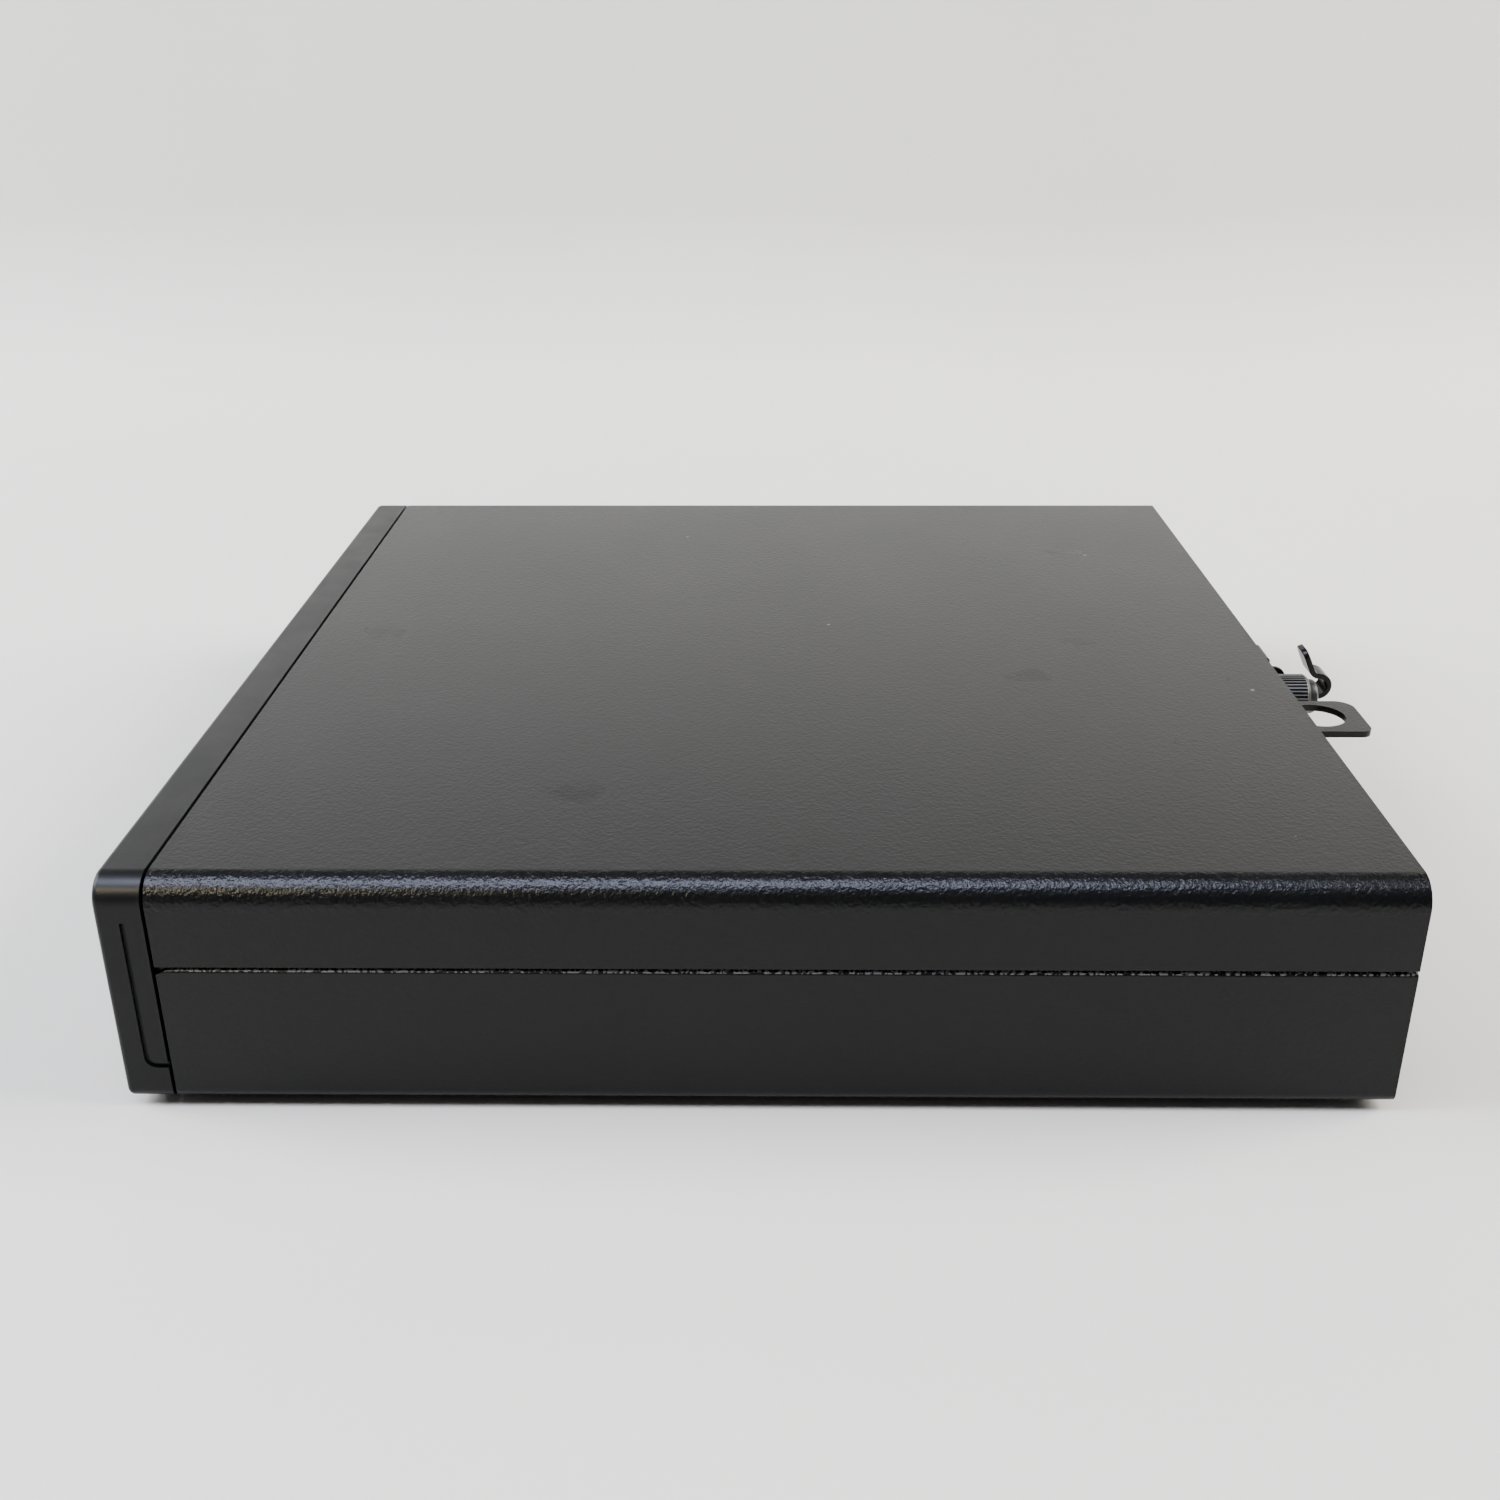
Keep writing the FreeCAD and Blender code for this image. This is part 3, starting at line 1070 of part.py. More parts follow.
def fan_rotor():
    """Cup-shaped hub with leaning blades, turning on the housing's spindle."""
    tall = size["rotor_tall"]
    hub = Part.makeCylinder(size["hub_radius"], tall)
    cavity = Part.makeCylinder(size["hub_radius"] - 1.2, tall - 1.6)
    sleeve = Part.makeCylinder(size["spindle_radius"] + 1.4, tall)
    bore = Part.makeCylinder(size["spindle_radius"] + size["bore_gap"], tall - size["hub_cap"])
    cup = hub.cut(cavity).fuse(sleeve).cut(bore)
    inside = size["hub_radius"] - 0.6
    span = size["rotor_radius"] - inside + 2
    chord = tall / math.sin(math.radians(size["blade_pitch"])) + 2
    reach = Part.makeCylinder(size["rotor_radius"], tall - 0.4, Vector(0, 0, 0.2))
    reach = reach.cut(Part.makeCylinder(inside, tall))
    blade = Part.makeBox(span, chord, size["blade_thick"],
                         Vector(inside - 1, -chord / 2, -size["blade_thick"] / 2))
    blade.rotate(Vector(), Vector(1, 0, 0), size["blade_pitch"])
    blade.translate(Vector(0, 0, tall / 2))
    blade = blade.common(reach)
    blades = []
    for i in range(int(size["blade_count"])):
        copy = blade.copy()
        copy.rotate(Vector(), Vector(0, 0, 1), 360 / size["blade_count"] * i)
        blades.append(copy)
    rotor = doc.addObject("Part::Feature", "fan_rotor")
    rotor.Shape = cup.multiFuse(blades).removeSplitter()
    for axis, level in zip("xyz", ("sink_x", SINK_Y, f"{FAN_LEVEL} + fan_wall + slip")):
        rotor.setExpression("Placement.Base." + axis, linked(level))
    subpart("fan_rotor", rotor)


def fan_screws():
    """Screws that hold the fan down on the fins."""
    pieces = []
    for x, y in fan_corners():
        head = rod("2.3", "1", x, y, f"{FAN_LEVEL} + fan_tall")
        shank = rod("fan_screw_radius", "fan_tall", x, y, FAN_LEVEL)
        slot = box((f"{x} - 1.6", f"{x} + 1.6"), (f"{y} - 0.3", f"{y} + 0.3"),
                   (f"{FAN_LEVEL} + fan_tall + 0.5", f"{FAN_LEVEL} + fan_tall + 1"))
        pieces.append(cut(join(head, shank), slot))
    subpart("fan_screws", group(*pieces))


def memory_bank(letter, number):
    """One memory socket with its module and a sprung latch arm on each side."""
    front = f"({FRONT} + memory_front + memory_pitch * {number})"
    x = "memory_x"
    low = f"({BOARD_TOP} + dimm_level)"
    seat = f"({front} + dimm_block_deep - dimm_seat)"
    base = block("dimm_block_wide", "dimm_block_deep", "dimm_block_tall", x,
                 f"({front} + dimm_block_deep / 2)",
                 BOARD_TOP)
    groove = box((f"{x} - dimm_wide / 2", f"{x} + dimm_wide / 2"), (seat, f"{front} + dimm_block_deep"),
                 (low, f"{low} + dimm_thick"))
    arms = []
    ears = []
    for side, sign in (("left", "-"), ("right", "+")):
        inner = f"({x} {sign} (dimm_wide / 2 + slip))"
        outer = f"({inner} {sign} latch_thick)"
        span = (outer, inner) if sign == "-" else (inner, outer)
        pivot_x = f"({inner} {sign} latch_thick / 2)"
        pivot_y = f"({front} + dimm_block_deep + slip + 2)"
        end = f"({seat} + dimm_deep + slip + latch_thick)"
        arm_low = f"({BOARD_TOP} + slip)"
        arm = box(span, (f"{pivot_y} - 1.6", end), (arm_low, f"{arm_low} + latch_tall"))
        nose_in = f"({inner} {'+' if sign == '-' else '-'} latch_nose)"
        nose_span = (inner, nose_in) if sign == "-" else (nose_in, inner)
        nose = box(nose_span, (f"{end} - latch_nose_deep", end),
                   (f"{low} + dimm_thick + slip", f"{arm_low} + latch_tall"))
        pin = rod("latch_pivot", "latch_tall + 0.9", pivot_x, pivot_y, arm_low)
        arms.append((side, join(arm, nose, pin)))
        ear = box(
            (f"{pivot_x} - 1.8", f"{pivot_x} + 1.8"),
            (f"{front} + 1", f"{pivot_y} + 1.8"),
            (f"{arm_low} + latch_tall + slip", f"{arm_low} + latch_tall + slip + 0.9"),
        )
        outside = f"({pivot_x} {sign} 1.8)"
        bridge = box(
            (outside, inner) if sign == "-" else (inner, outside),
            (f"{front} + 1", f"{front} + dimm_block_deep"),
            (BOARD_TOP, f"{arm_low} + latch_tall + slip + 0.9"),
        )
        hole = rod("latch_pivot + bore_gap", "2", pivot_x, pivot_y, f"{arm_low} + latch_tall")
        ears += [cut(ear, hole), bridge]
    key = box((f"{x} + 12", f"{x} + 13"), (seat, f"{front} + dimm_block_deep"), (low, f"{low} + dimm_thick"))
    subpart(f"memory_socket_{letter}", join(cut(base, groove), *ears, key))
    board = box((f"{x} - dimm_wide / 2 + 0.1", f"{x} + dimm_wide / 2 - 0.1"), (seat, f"{seat} + dimm_deep"),
                (low, f"{low} + dimm_thick"))
    notch = box((f"{x} + 11.8", f"{x} + 13.2"), (seat, f"{seat} + dimm_seat + 0.2"),
                (low, f"{low} + dimm_thick"))
    chips = []
    for step in (-1.5, -0.5, 0.5, 1.5):
        chips.append(block("chip_wide", "chip_deep", "chip_thick", f"({x} + {step} * (chip_wide + 3))",
                           f"({seat} + dimm_deep - 11)", f"{low} + dimm_thick"))
    subpart(f"memory_module_{letter}", join(cut(board, notch), *chips))
    for side, arm in arms:
        subpart(f"memory_latch_{side}_{letter}", arm)


# Storage and radio cards.

def drive_cage():
    """Bent tray that carries the drive over the board, on four legs."""
    body = new_body("drive_cage")
    low = f"({CAGE_LEVEL} - steel)"
    inner = "(drive_wide / 2 + fit)"
    outer = f"({inner} + steel)"
    tray = sketch(body, "y", CAGE_FRONT)
    right = [(f"cage_x + {outer}", low), (f"cage_x + {outer}", f"{CAGE_LEVEL} + cage_side"),
             (f"cage_x + {inner}", f"{CAGE_LEVEL} + cage_side"), (f"cage_x + {inner}", CAGE_LEVEL)]
    left = [(f"cage_x - {outer}", low), (f"cage_x - {outer}", f"{CAGE_LEVEL} + cage_side"),
            (f"cage_x - {inner}", f"{CAGE_LEVEL} + cage_side"), (f"cage_x - {inner}", CAGE_LEVEL)]
    polygon(tray, right + left[::-1])
    feature(body, "Pad", tray, "cage_depth")
    for y in (CAGE_FRONT, f"({CAGE_FRONT} + cage_depth - cage_leg)"):
        for sign in ("-", "+"):
            leg = sketch(body, "y", y)
            polygon(leg, [
                (f"cage_x {sign} {outer}", f"{low} + steel"),
                (f"cage_x {sign} {outer}", f"{BOARD_TOP} + steel"),
                (f"cage_x {sign} ({outer} + cage_foot)", f"{BOARD_TOP} + steel"),
                (f"cage_x {sign} ({outer} + cage_foot)", BOARD_TOP),
                (f"cage_x {sign} {inner}", BOARD_TOP),
                (f"cage_x {sign} {inner}", f"{low} + steel"),
            ])
            feature(body, "Pad", leg, "cage_leg")
    openings = sketch(body, "z", low)
    for start, end in (("0.12", "0.46"), ("0.54", "0.88")):
        rectangle(openings, (f"cage_x - {inner} + 12", f"cage_x + {inner} - 12"),
                  (f"{CAGE_FRONT} + cage_depth * {start}", f"{CAGE_FRONT} + cage_depth * {end}"))
    feature(body, "Pocket", openings, "steel")
    holes = sketch(body, "z", BOARD_TOP)
    for x, y in cage_feet():
        circle(holes, x, y, "screw_shank + fit")
    feature(body, "Pocket", holes, "steel")


def cage_feet():
    """Where the drive cage is screwed down."""
    reach = "(drive_wide / 2 + fit + steel + cage_foot / 2)"
    rows = [f"({CAGE_FRONT} + cage_leg / 2)", f"({CAGE_FRONT} + cage_depth - cage_leg / 2)"]
    return [(f"(cage_x {sign} {reach})", row) for sign in "-+" for row in rows]


def disk_drive():
    """2.5 inch drive with a raised lid and its edge connector."""
    body = new_body("disk_drive")
    half = "drive_wide / 2"
    front = f"({CAGE_FRONT} + 1)"
    case = sketch(body, "z", CAGE_LEVEL)
    rectangle(case, (f"cage_x - {half}", f"cage_x + {half}"), (front, f"{front} + drive_deep"))
    feature(body, "Pad", case, "drive_tall")
    fillet(body, "drive_corner", lambda e, b: runs(e, "z"))
    rim = sketch(body, "z", f"{CAGE_LEVEL} + drive_tall - 0.5")
    rectangle(rim, (f"cage_x - {half}", f"cage_x + {half}"), (front, f"{front} + drive_deep"))
    rectangle(rim, (f"cage_x - {half} + 2.4", f"cage_x + {half} - 2.4"),
              (f"{front} + 4", f"{front} + drive_deep - 9"))
    feature(body, "Pocket", rim, "0.5")
    mouth = sketch(body, "y", f"{front} + drive_deep - 5")
    rectangle(mouth, ("cage_x - 24", "cage_x + 10"), (f"{CAGE_LEVEL} + 1", f"{CAGE_LEVEL} + 4.4"))
    feature(body, "Pocket", mouth, "5")


def drive_ribbon():
    """Stiffened ribbon from the drive's connector down to the board."""
    y = f"({CAGE_FRONT} + 1 + drive_deep)"
    plug = box(("cage_x - 23.8", "cage_x + 9.8"), (f"{y} - 4.6", f"{y} + 2.4"),
               (f"{CAGE_LEVEL} + 1.3", f"{CAGE_LEVEL} + 4.1"))
    strap = box(("cage_x - 16", "cage_x + 2"), (f"{y} + 2.4", f"{y} + 2.8"),
                (f"{BOARD_TOP} + 3", f"{CAGE_LEVEL} + 4"))
    header = box(("cage_x - 18", "cage_x + 4"), (f"{y} + 1.6", f"{y} + 5.2"), (BOARD_TOP, f"{BOARD_TOP} + 3"))
    subpart("drive_ribbon", join(plug, strap))
    subpart("ribbon_header", header)


def card(name, deep, x, y, chips):
    """A plug-in card in its socket, with a post and screw at its free end."""
    start = f"({FRONT} + {y})"
    seat = f"({start} + card_socket_deep - card_seat)"
    far = f"({seat} + {deep})"
    base = box((f"{x} - card_wide / 2 - 0.6", f"{x} + card_wide / 2 + 0.6"),
               (start, f"{start} + card_socket_deep"),
               (BOARD_TOP, f"{BOARD_TOP} + card_socket_tall"))
    groove = box((f"{x} - card_wide / 2", f"{x} + card_wide / 2"), (seat, f"{start} + card_socket_deep"),
                 (CARD_LEVEL, f"{CARD_LEVEL} + card_thick"))
    slab = box((f"{x} - card_wide / 2", f"{x} + card_wide / 2"), (seat, far),
               (CARD_LEVEL, f"{CARD_LEVEL} + card_thick"))
    notch = rod("2", "card_thick", x, far, CARD_LEVEL)
    top = f"({CARD_LEVEL} + card_thick)"
    cans = [box((f"{x} - {wide} / 2", f"{x} + {wide} / 2"), (f"{seat} + {low}", f"{seat} + {high}"),
                (top, f"{top} + {tall}")) for wide, low, high, tall in chips]
    subpart(f"{name}_card", join(cut(slab, notch), *cans))
    return far, cut(base, groove)


def cards():
    """The solid-state card and the radio card, with the posts and screws that hold them down."""
    storage = card("storage", "ssd_deep", "ssd_x", "ssd_front",
                   [("16", "8", "22", "1.2"), ("13", "28", "46", "1.2"), ("13", "50", "68", "1.2")])
    radio = card("radio", "radio_deep", "radio_x", "radio_front", [("17", "7", "22", "1.5")])
    subpart("card_sockets", group(storage[1], radio[1]))
    posts = []
    screws = []
    for x, y in (("ssd_x", storage[0]), ("radio_x", radio[0])):
        posts.append(cut(rod("2.6", "card_level", x, y, BOARD_TOP), rod("1", "card_level", x, y, BOARD_TOP)))
        head = rod("2.9", "0.9", x, y, f"{CARD_LEVEL} + card_thick")
        shank = rod("1", "card_thick + 2", x, y, f"{CARD_LEVEL} - 2")
        slot = box((f"{x} - 1.4", f"{x} + 1.4"), (f"{y} - 0.3", f"{y} + 0.3"),
                   (f"{CARD_LEVEL} + card_thick + 0.4", f"{CARD_LEVEL} + card_thick + 0.9"))
        screws.append(cut(join(head, shank), slot))
    subpart("card_posts", group(*posts))
    subpart("card_screws", group(*screws))


# The connectors.

def mouth(x, wide, low, tall, deep):
    """The hollow of a connector that opens at the rear."""
    return box((f"{x} - {wide} / 2", f"{x} + {wide} / 2"), (f"{PORT_FACE} - {deep}", PORT_FACE),
               (low, f"{low} + {tall}"))


def rear_block(x, port):
    """The outside of a rear connector, standing on the board."""
    return box((f"{x} - {port}_wide / 2", f"{x} + {port}_wide / 2"),
               (f"{PORT_FACE} - {port}_deep", PORT_FACE),
               (BOARD_TOP, f"{BOARD_TOP} + {port}_tall"))


def usb_stack(label, x):
    """Two sockets one above the other in one shell."""
    margin = "(usb_tall - 2 * usb_slot) / 3"
    hollows = []
    tongues = []
    for number in (0, 1):
        low = f"({BOARD_TOP} + {margin} + {number} * (usb_slot + {margin}))"
        hollows.append(mouth(x, "usb_mouth", low, "usb_slot", "(usb_deep - 6)"))
        tongues.append(box((f"{x} - usb_mouth / 2 + 0.7", f"{x} + usb_mouth / 2 - 0.7"),
                           (f"{PORT_FACE} - usb_deep + 5", f"{PORT_FACE} - 1.5"),
                           (f"{low} + usb_slot - usb_tongue - 0.7", f"{low} + usb_slot - 0.7")))
    subpart(label, join(cut(rear_block(x, "usb"), *hollows), *tongues))


def rear_ports():
    """Power inlet, double sockets, network socket, display sockets and the blanking plate."""
    level = f"({BOARD_TOP} + dc_tall / 2)"
    barrel = rod("dc_radius", "dc_deep - 2", "dc_x", f"{PORT_FACE} - dc_deep + 2", level, "y")
    pin = rod("dc_pin", "dc_deep - 2", "dc_x", f"{PORT_FACE} - dc_deep + 1", level, "y")
    subpart("power_inlet", join(cut(rear_block("dc_x", "dc"), barrel), pin))
    usb_stack("usb_sockets_near", "usb_near_x")
    usb_stack("usb_sockets_far", "usb_far_x")
    low = f"({BOARD_TOP} + 2.2)"
    hollow = mouth("ether_x", "ether_mouth", low, "ether_slot", "(ether_deep - 5)")
    catch = mouth("ether_x", "6", f"{low} - 1.2", "2", "(ether_deep - 5)")
    contacts = [box((f"ether_x + {step} - 0.25", f"ether_x + {step} + 0.25"),
                    (f"{PORT_FACE} - ether_deep + 4", f"{PORT_FACE} - 3"),
                    (f"{low} + ether_slot - 0.6", f"{low} + ether_slot + 0.1"))
                for step in (-3.5, -2.5, -1.5, -0.5, 0.5, 1.5, 2.5, 3.5)]
    subpart("network_socket", join(cut(rear_block("ether_x", "ether"), hollow, catch), *contacts))
    sockets = []
    for x in ("video_near_x", "video_far_x"):
        low = f"({BOARD_TOP} + (video_tall - video_slot) / 2)"
        hollow = mouth(x, "video_mouth", low, "video_slot", "(video_deep - 4)")
        tongue = box((f"{x} - video_mouth / 2 + 1.5", f"{x} + video_mouth / 2 - 1.5"),
                     (f"{PORT_FACE} - video_deep + 3", f"{PORT_FACE} - 1.2"), (f"{low} + 1.5",
                                                                               f"{low} + 3.2"))
        sockets.append(join(cut(rear_block(x, "video"), hollow), tongue))
    subpart("display_sockets", group(*sockets))
    plate = box(("blank_x - blank_wide / 2 - blank_border", "blank_x + blank_wide / 2 + blank_border"),
                (f"{PANEL_IN} - steel", PANEL_IN), (f"{BOARD_TOP} - 1",
                                                    f"{BOARD_TOP} + blank_tall + blank_border"))
    rib = box(("blank_x - blank_wide / 2", "blank_x + blank_wide / 2"), (PANEL_IN, f"{PANEL} - 0.2"),
              (BOARD_TOP, f"{BOARD_TOP} + blank_tall"))
    subpart("port_blank", join(plate, rib))


def front_shell(x, wide, tall, deep, tongue_wide, tongue_thick):
    """A shell socket that opens at the front, with its tongue."""
    back = f"({FRONT_PORT} + {deep})"
    outside = box((f"{x} - {wide} / 2", f"{x} + {wide} / 2"), (FRONT_PORT, back),
                  (BOARD_TOP, f"{BOARD_TOP} + {tall}"))
    hollow = box((f"{x} - {wide} / 2 + shell", f"{x} + {wide} / 2 - shell"), (FRONT_PORT, f"{back} - 4"),
                 (f"{BOARD_TOP} + shell", f"{BOARD_TOP} + {tall} - shell"))
    tongue = box((f"{x} - {tongue_wide} / 2", f"{x} + {tongue_wide} / 2"),
                 (f"{FRONT_PORT} + 1", f"{back} - 3"),
                 (f"{BOARD_TOP} + ({tall} - {tongue_thick}) / 2",
                  f"{BOARD_TOP} + ({tall} + {tongue_thick}) / 2"))
    return join(cut(outside, hollow), tongue)


def front_ports():
    """Sockets and jacks along the board's front edge."""
    subpart("front_usb_sockets", group(*[front_shell(x, "front_usb_wide", "front_usb_tall", "front_usb_deep",
                                                     "11.2", "1.6") for x in ("front_usb_near_x",
                                                                              "front_usb_far_x")]))
    subpart("small_usb_socket", front_shell("small_usb_x", "small_usb_wide", "small_usb_tall",
                                            "small_usb_deep",
                                            "6.6", "0.8"))
    jacks = []
    level = f"({BOARD_TOP} + jack_side / 2)"
    for x in ("jack_near_x", "jack_far_x"):
        start = f"({PLATE} + steel + fit)"
        case = box((f"{x} - jack_side / 2", f"{x} + jack_side / 2"), (start, f"{start} + jack_deep"),
                   (BOARD_TOP, f"{BOARD_TOP} + jack_side"))
        nose = rod("jack_nose", f"{start} - {FRONT_PORT}", x, FRONT_PORT, level, "y")
        bore = rod("jack_bore", "jack_deep + 3", x, FRONT_PORT, level, "y")
        jacks.append(cut(join(case, nose), bore))
    subpart("audio_jacks", group(*jacks))


def power_button():
    """Round button with a collar behind the bezel and a stem, and the switch that it presses."""
    face = rod("button_radius", "bezel_face + slip", "button_x", FRONT, BUTTON_LEVEL, "y")
    collar = rod("button_flange", "1", "button_x", f"{FRONT} + bezel_face + slip", BUTTON_LEVEL, "y")
    start = f"({FRONT} + bezel_face + slip + 1)"
    stem = rod("button_stem", f"{SWITCH} - slip - button_stroke - {start}", "button_x", start, BUTTON_LEVEL,
               "y")
    subpart("power_button", join(face, collar, stem))
    case = block("6", "5", "button_level + 3", "button_x", f"({SWITCH} + 3.5)", BOARD_TOP)
    plunger = rod("1.2", "1", "button_x", SWITCH, BUTTON_LEVEL, "y")
    subpart("power_switch", join(case, plunger))


def activity_light():
    """Clear light guide that stands on the board and reaches the bezel's face."""
    guide = rod("lamp_radius", "board_front + 2", "lamp_x", FRONT, BUTTON_LEVEL, "y")
    foot = block("3.4", "3", "button_level + 1.6", "lamp_x", f"({BOARD_FRONT} + 3.5)", BOARD_TOP)
    subpart("light_guide", join(guide, foot))


# Small pieces inside.

def loudspeaker():
    """Boxed loudspeaker on the board behind the front plate."""
    start = f"({PLATE} + steel + slip)"
    case = box(("speaker_x - speaker_wide / 2", "speaker_x + speaker_wide / 2"),
               (start, f"{start} + speaker_deep"),
               (f"{BOARD_TOP}", f"{BOARD_TOP} + speaker_tall"))
    cone = rod("speaker_tall / 2 - 1", "1", "speaker_x - 5", start, f"{BOARD_TOP} + speaker_tall / 2", "y")
    ports = [rod("0.8", "2", f"speaker_x + {step}", start, f"{BOARD_TOP} + speaker_tall / 2", "y")
             for step in (3, 6, 9)]
    subpart("loudspeaker", cut(case, cone, *ports))


def coin_cell():
    """Coin cell in a round holder."""
    y = f"({FRONT} + cell_y)"
    holder = rod("cell_radius + 1.4", "cell_tall + 0.6", "cell_x", y, BOARD_TOP)
    well = rod("cell_radius + 0.1", "cell_tall", "cell_x", y, f"{BOARD_TOP} + 0.8")
    gap = box(("cell_x - 5", "cell_x + 5"), (f"{y} + cell_radius - 2", f"{y} + cell_radius + 2"),
              (f"{BOARD_TOP} + 0.8", f"{BOARD_TOP} + cell_tall + 1"))
    subpart("cell_holder", cut(holder, well, gap))
    subpart("coin_cell", rod("cell_radius", "cell_tall", "cell_x", y, f"{BOARD_TOP} + 0.8"))


def board_components():
    """Controller chip with its small heat spreader, choke coils and capacitors."""
    y = f"({FRONT} + chipset_y)"
    chip = block("chipset_side", "chipset_side", "1.4", "chipset_x", y, BOARD_TOP)
    subpart("controller_chip", chip)
    plate = block("chipset_side - 3", "chipset_side - 3", "1", "chipset_x", y, f"{BOARD_TOP} + 1.4")
    fins = [block("1", "chipset_side - 3", "4", f"(chipset_x + {step})", y, f"{BOARD_TOP} + 2.4")
            for step in (-9, -6, -3, 0, 3, 6, 9)]
    subpart("controller_heat_sink", join(plate, *fins))
    chokes = []
    for number in range(int(size["choke_count"])):
        place = f"({FRONT} + choke_y + {number} * choke_pitch)"
        base = block("choke_side", "choke_side", "4", "choke_x", place, BOARD_TOP)
        dimple = rod("choke_side / 4", "0.4", "choke_x", place, f"{BOARD_TOP} + 3.6")
        chokes.append(cut(base, dimple))
    cans = []
    for number in range(int(size["capacitor_count"])):
        place = f"({FRONT} + capacitor_y + {number} * choke_pitch)"
        can = rod("capacitor_radius", "capacitor_tall", "capacitor_x", place, BOARD_TOP)
        vent = box(("capacitor_x - 2", "capacitor_x + 2"), (f"{place} - 0.15", f"{place} + 0.15"),
                   (f"{BOARD_TOP} + capacitor_tall - 0.3", f"{BOARD_TOP} + capacitor_tall"))
        cans.append(cut(can, vent))
    subpart("choke_coils", group(*chokes))
    subpart("capacitors", group(*cans))


def lead_path(points):
    """Straight runs joined by tangent arcs as large as the runs allow."""
    edges = []
    here = points[0]
    for before, corner, after in zip(points, points[1:], points[2:]):
        back = (before - corner).normalize()
        ahead = (after - corner).normalize()
        shorter = min(before.distanceToPoint(corner), after.distanceToPoint(corner))
        turn = math.pi - back.getAngle(ahead)
        trim = 0.45 * shorter
        radius = trim / math.tan(turn / 2)
        bisector = (back + ahead).normalize()
        centre = corner + bisector * math.sqrt(radius ** 2 + trim ** 2)
        start = corner + back * trim
        end = corner + ahead * trim
        edges.append(Part.LineSegment(here, start).toShape())
        edges.append(Part.Arc(start, centre - bisector * radius, end).toShape())
        here = end
    edges.append(Part.LineSegment(here, points[-1]).toShape())
    return Part.Wire(edges)


def antennas():
    """Two flat antennas on the front plate, each with a thin lead to the radio card."""
    flats = []
    leads = []
    front = -(size["body_depth"] + size["hook_reach"]) / 2
    board_top = size["foot_height"] + size["steel"] + size["standoff"] + size["board_thick"]
    for name, side in (("antenna_near_x", 1), ("antenna_far_x", -1)):
        flats.append(box((f"{name} - antenna_wide / 2", f"{name} + antenna_wide / 2"),
                         (f"{PLATE} - 1.2", PLATE),
                         (f"{BOARD_TOP} + 4", f"{BOARD_TOP} + 4 + antenna_tall")))
        radius = size["lead_radius"]
        hole = size[name] + size["antenna_wide"] / 2 + 2
        plate = front + size["bezel_depth"] + size["bezel_gap"] + size["fit"]
        goal = Vector(size["radio_x"] + side * 4, front + size["radio_front"] + size["radio_deep"] - 2,
                      board_top + size["card_level"] + size["card_thick"] + 1.5 + radius)
        points = [
            Vector(hole, plate - 0.8, board_top + 2),
            Vector(hole, plate + 8, board_top + 2.2),
            Vector(hole + 3, plate + 20, board_top + 5.6 + side * 0.8),
            Vector((hole + goal.x) / 2, plate + 33, board_top + 6.8 + side * 1.2),
            Vector(goal.x - 1, goal.y - 16, goal.z + 1.0),
            goal,
        ]
        wire = lead_path(points)
        direction = wire.Edges[0].tangentAt(0)
        ring = Part.Wire([Part.Circle(points[0], direction, radius).toShape()])
        leads.append(wire.makePipeShell([ring], True, False))
    subpart("antennas", group(*flats))
    lead = doc.addObject("Part::Feature", "antenna_leads")
    lead.Shape = Part.makeCompound(leads)
    lead.Placement = Placement()
    subpart("antenna_leads", lead)


def export():
    """Check every object, then write each sub-part to its own file."""
    doc.recompute()
    for thing in doc.Objects:
        if "Invalid" in thing.State or "Error" in thing.State:
            raise RuntimeError(f"{thing.Label} failed: {thing.State}")
    os.makedirs("parts", exist_ok=True)
    for label, thing in subparts.items():
        if thing.Shape.isNull() or not thing.Shape.isValid() or not thing.Shape.Solids:
            raise RuntimeError(f"{label} has no valid solid")
        thing.Shape.exportStep(f"parts/{label}.step")
        print(f"{label}: {len(thing.Shape.Solids)} solids, {thing.Shape.Volume:.1f} mm3")


doc.recompute()
chassis_pan()
top_cover()
rear_panel()
front_plate()
front_bezel()
thumbscrew()
padlock_loop()
heat_sink()
drive_cage()
disk_drive()
rubber_feet()
screw_washer()
screw_insert()
cord_hook()
antenna_plug()
motherboard()
board_standoffs()
board_screws()
processor()
heat_sink_screws()
fan_housing()
fan_rotor()
fan_screws()
memory_bank("a", 0)
memory_bank("b", 1)
drive_ribbon()
cards()
rear_ports()
front_ports()
power_button()
activity_light()
loudspeaker()
coin_cell()
board_components()
antennas()
export()
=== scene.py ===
import json
import math

import bmesh
import bpy
from bpy.props import FloatProperty, FloatVectorProperty, IntProperty, PointerProperty
from mathutils import Matrix, Vector


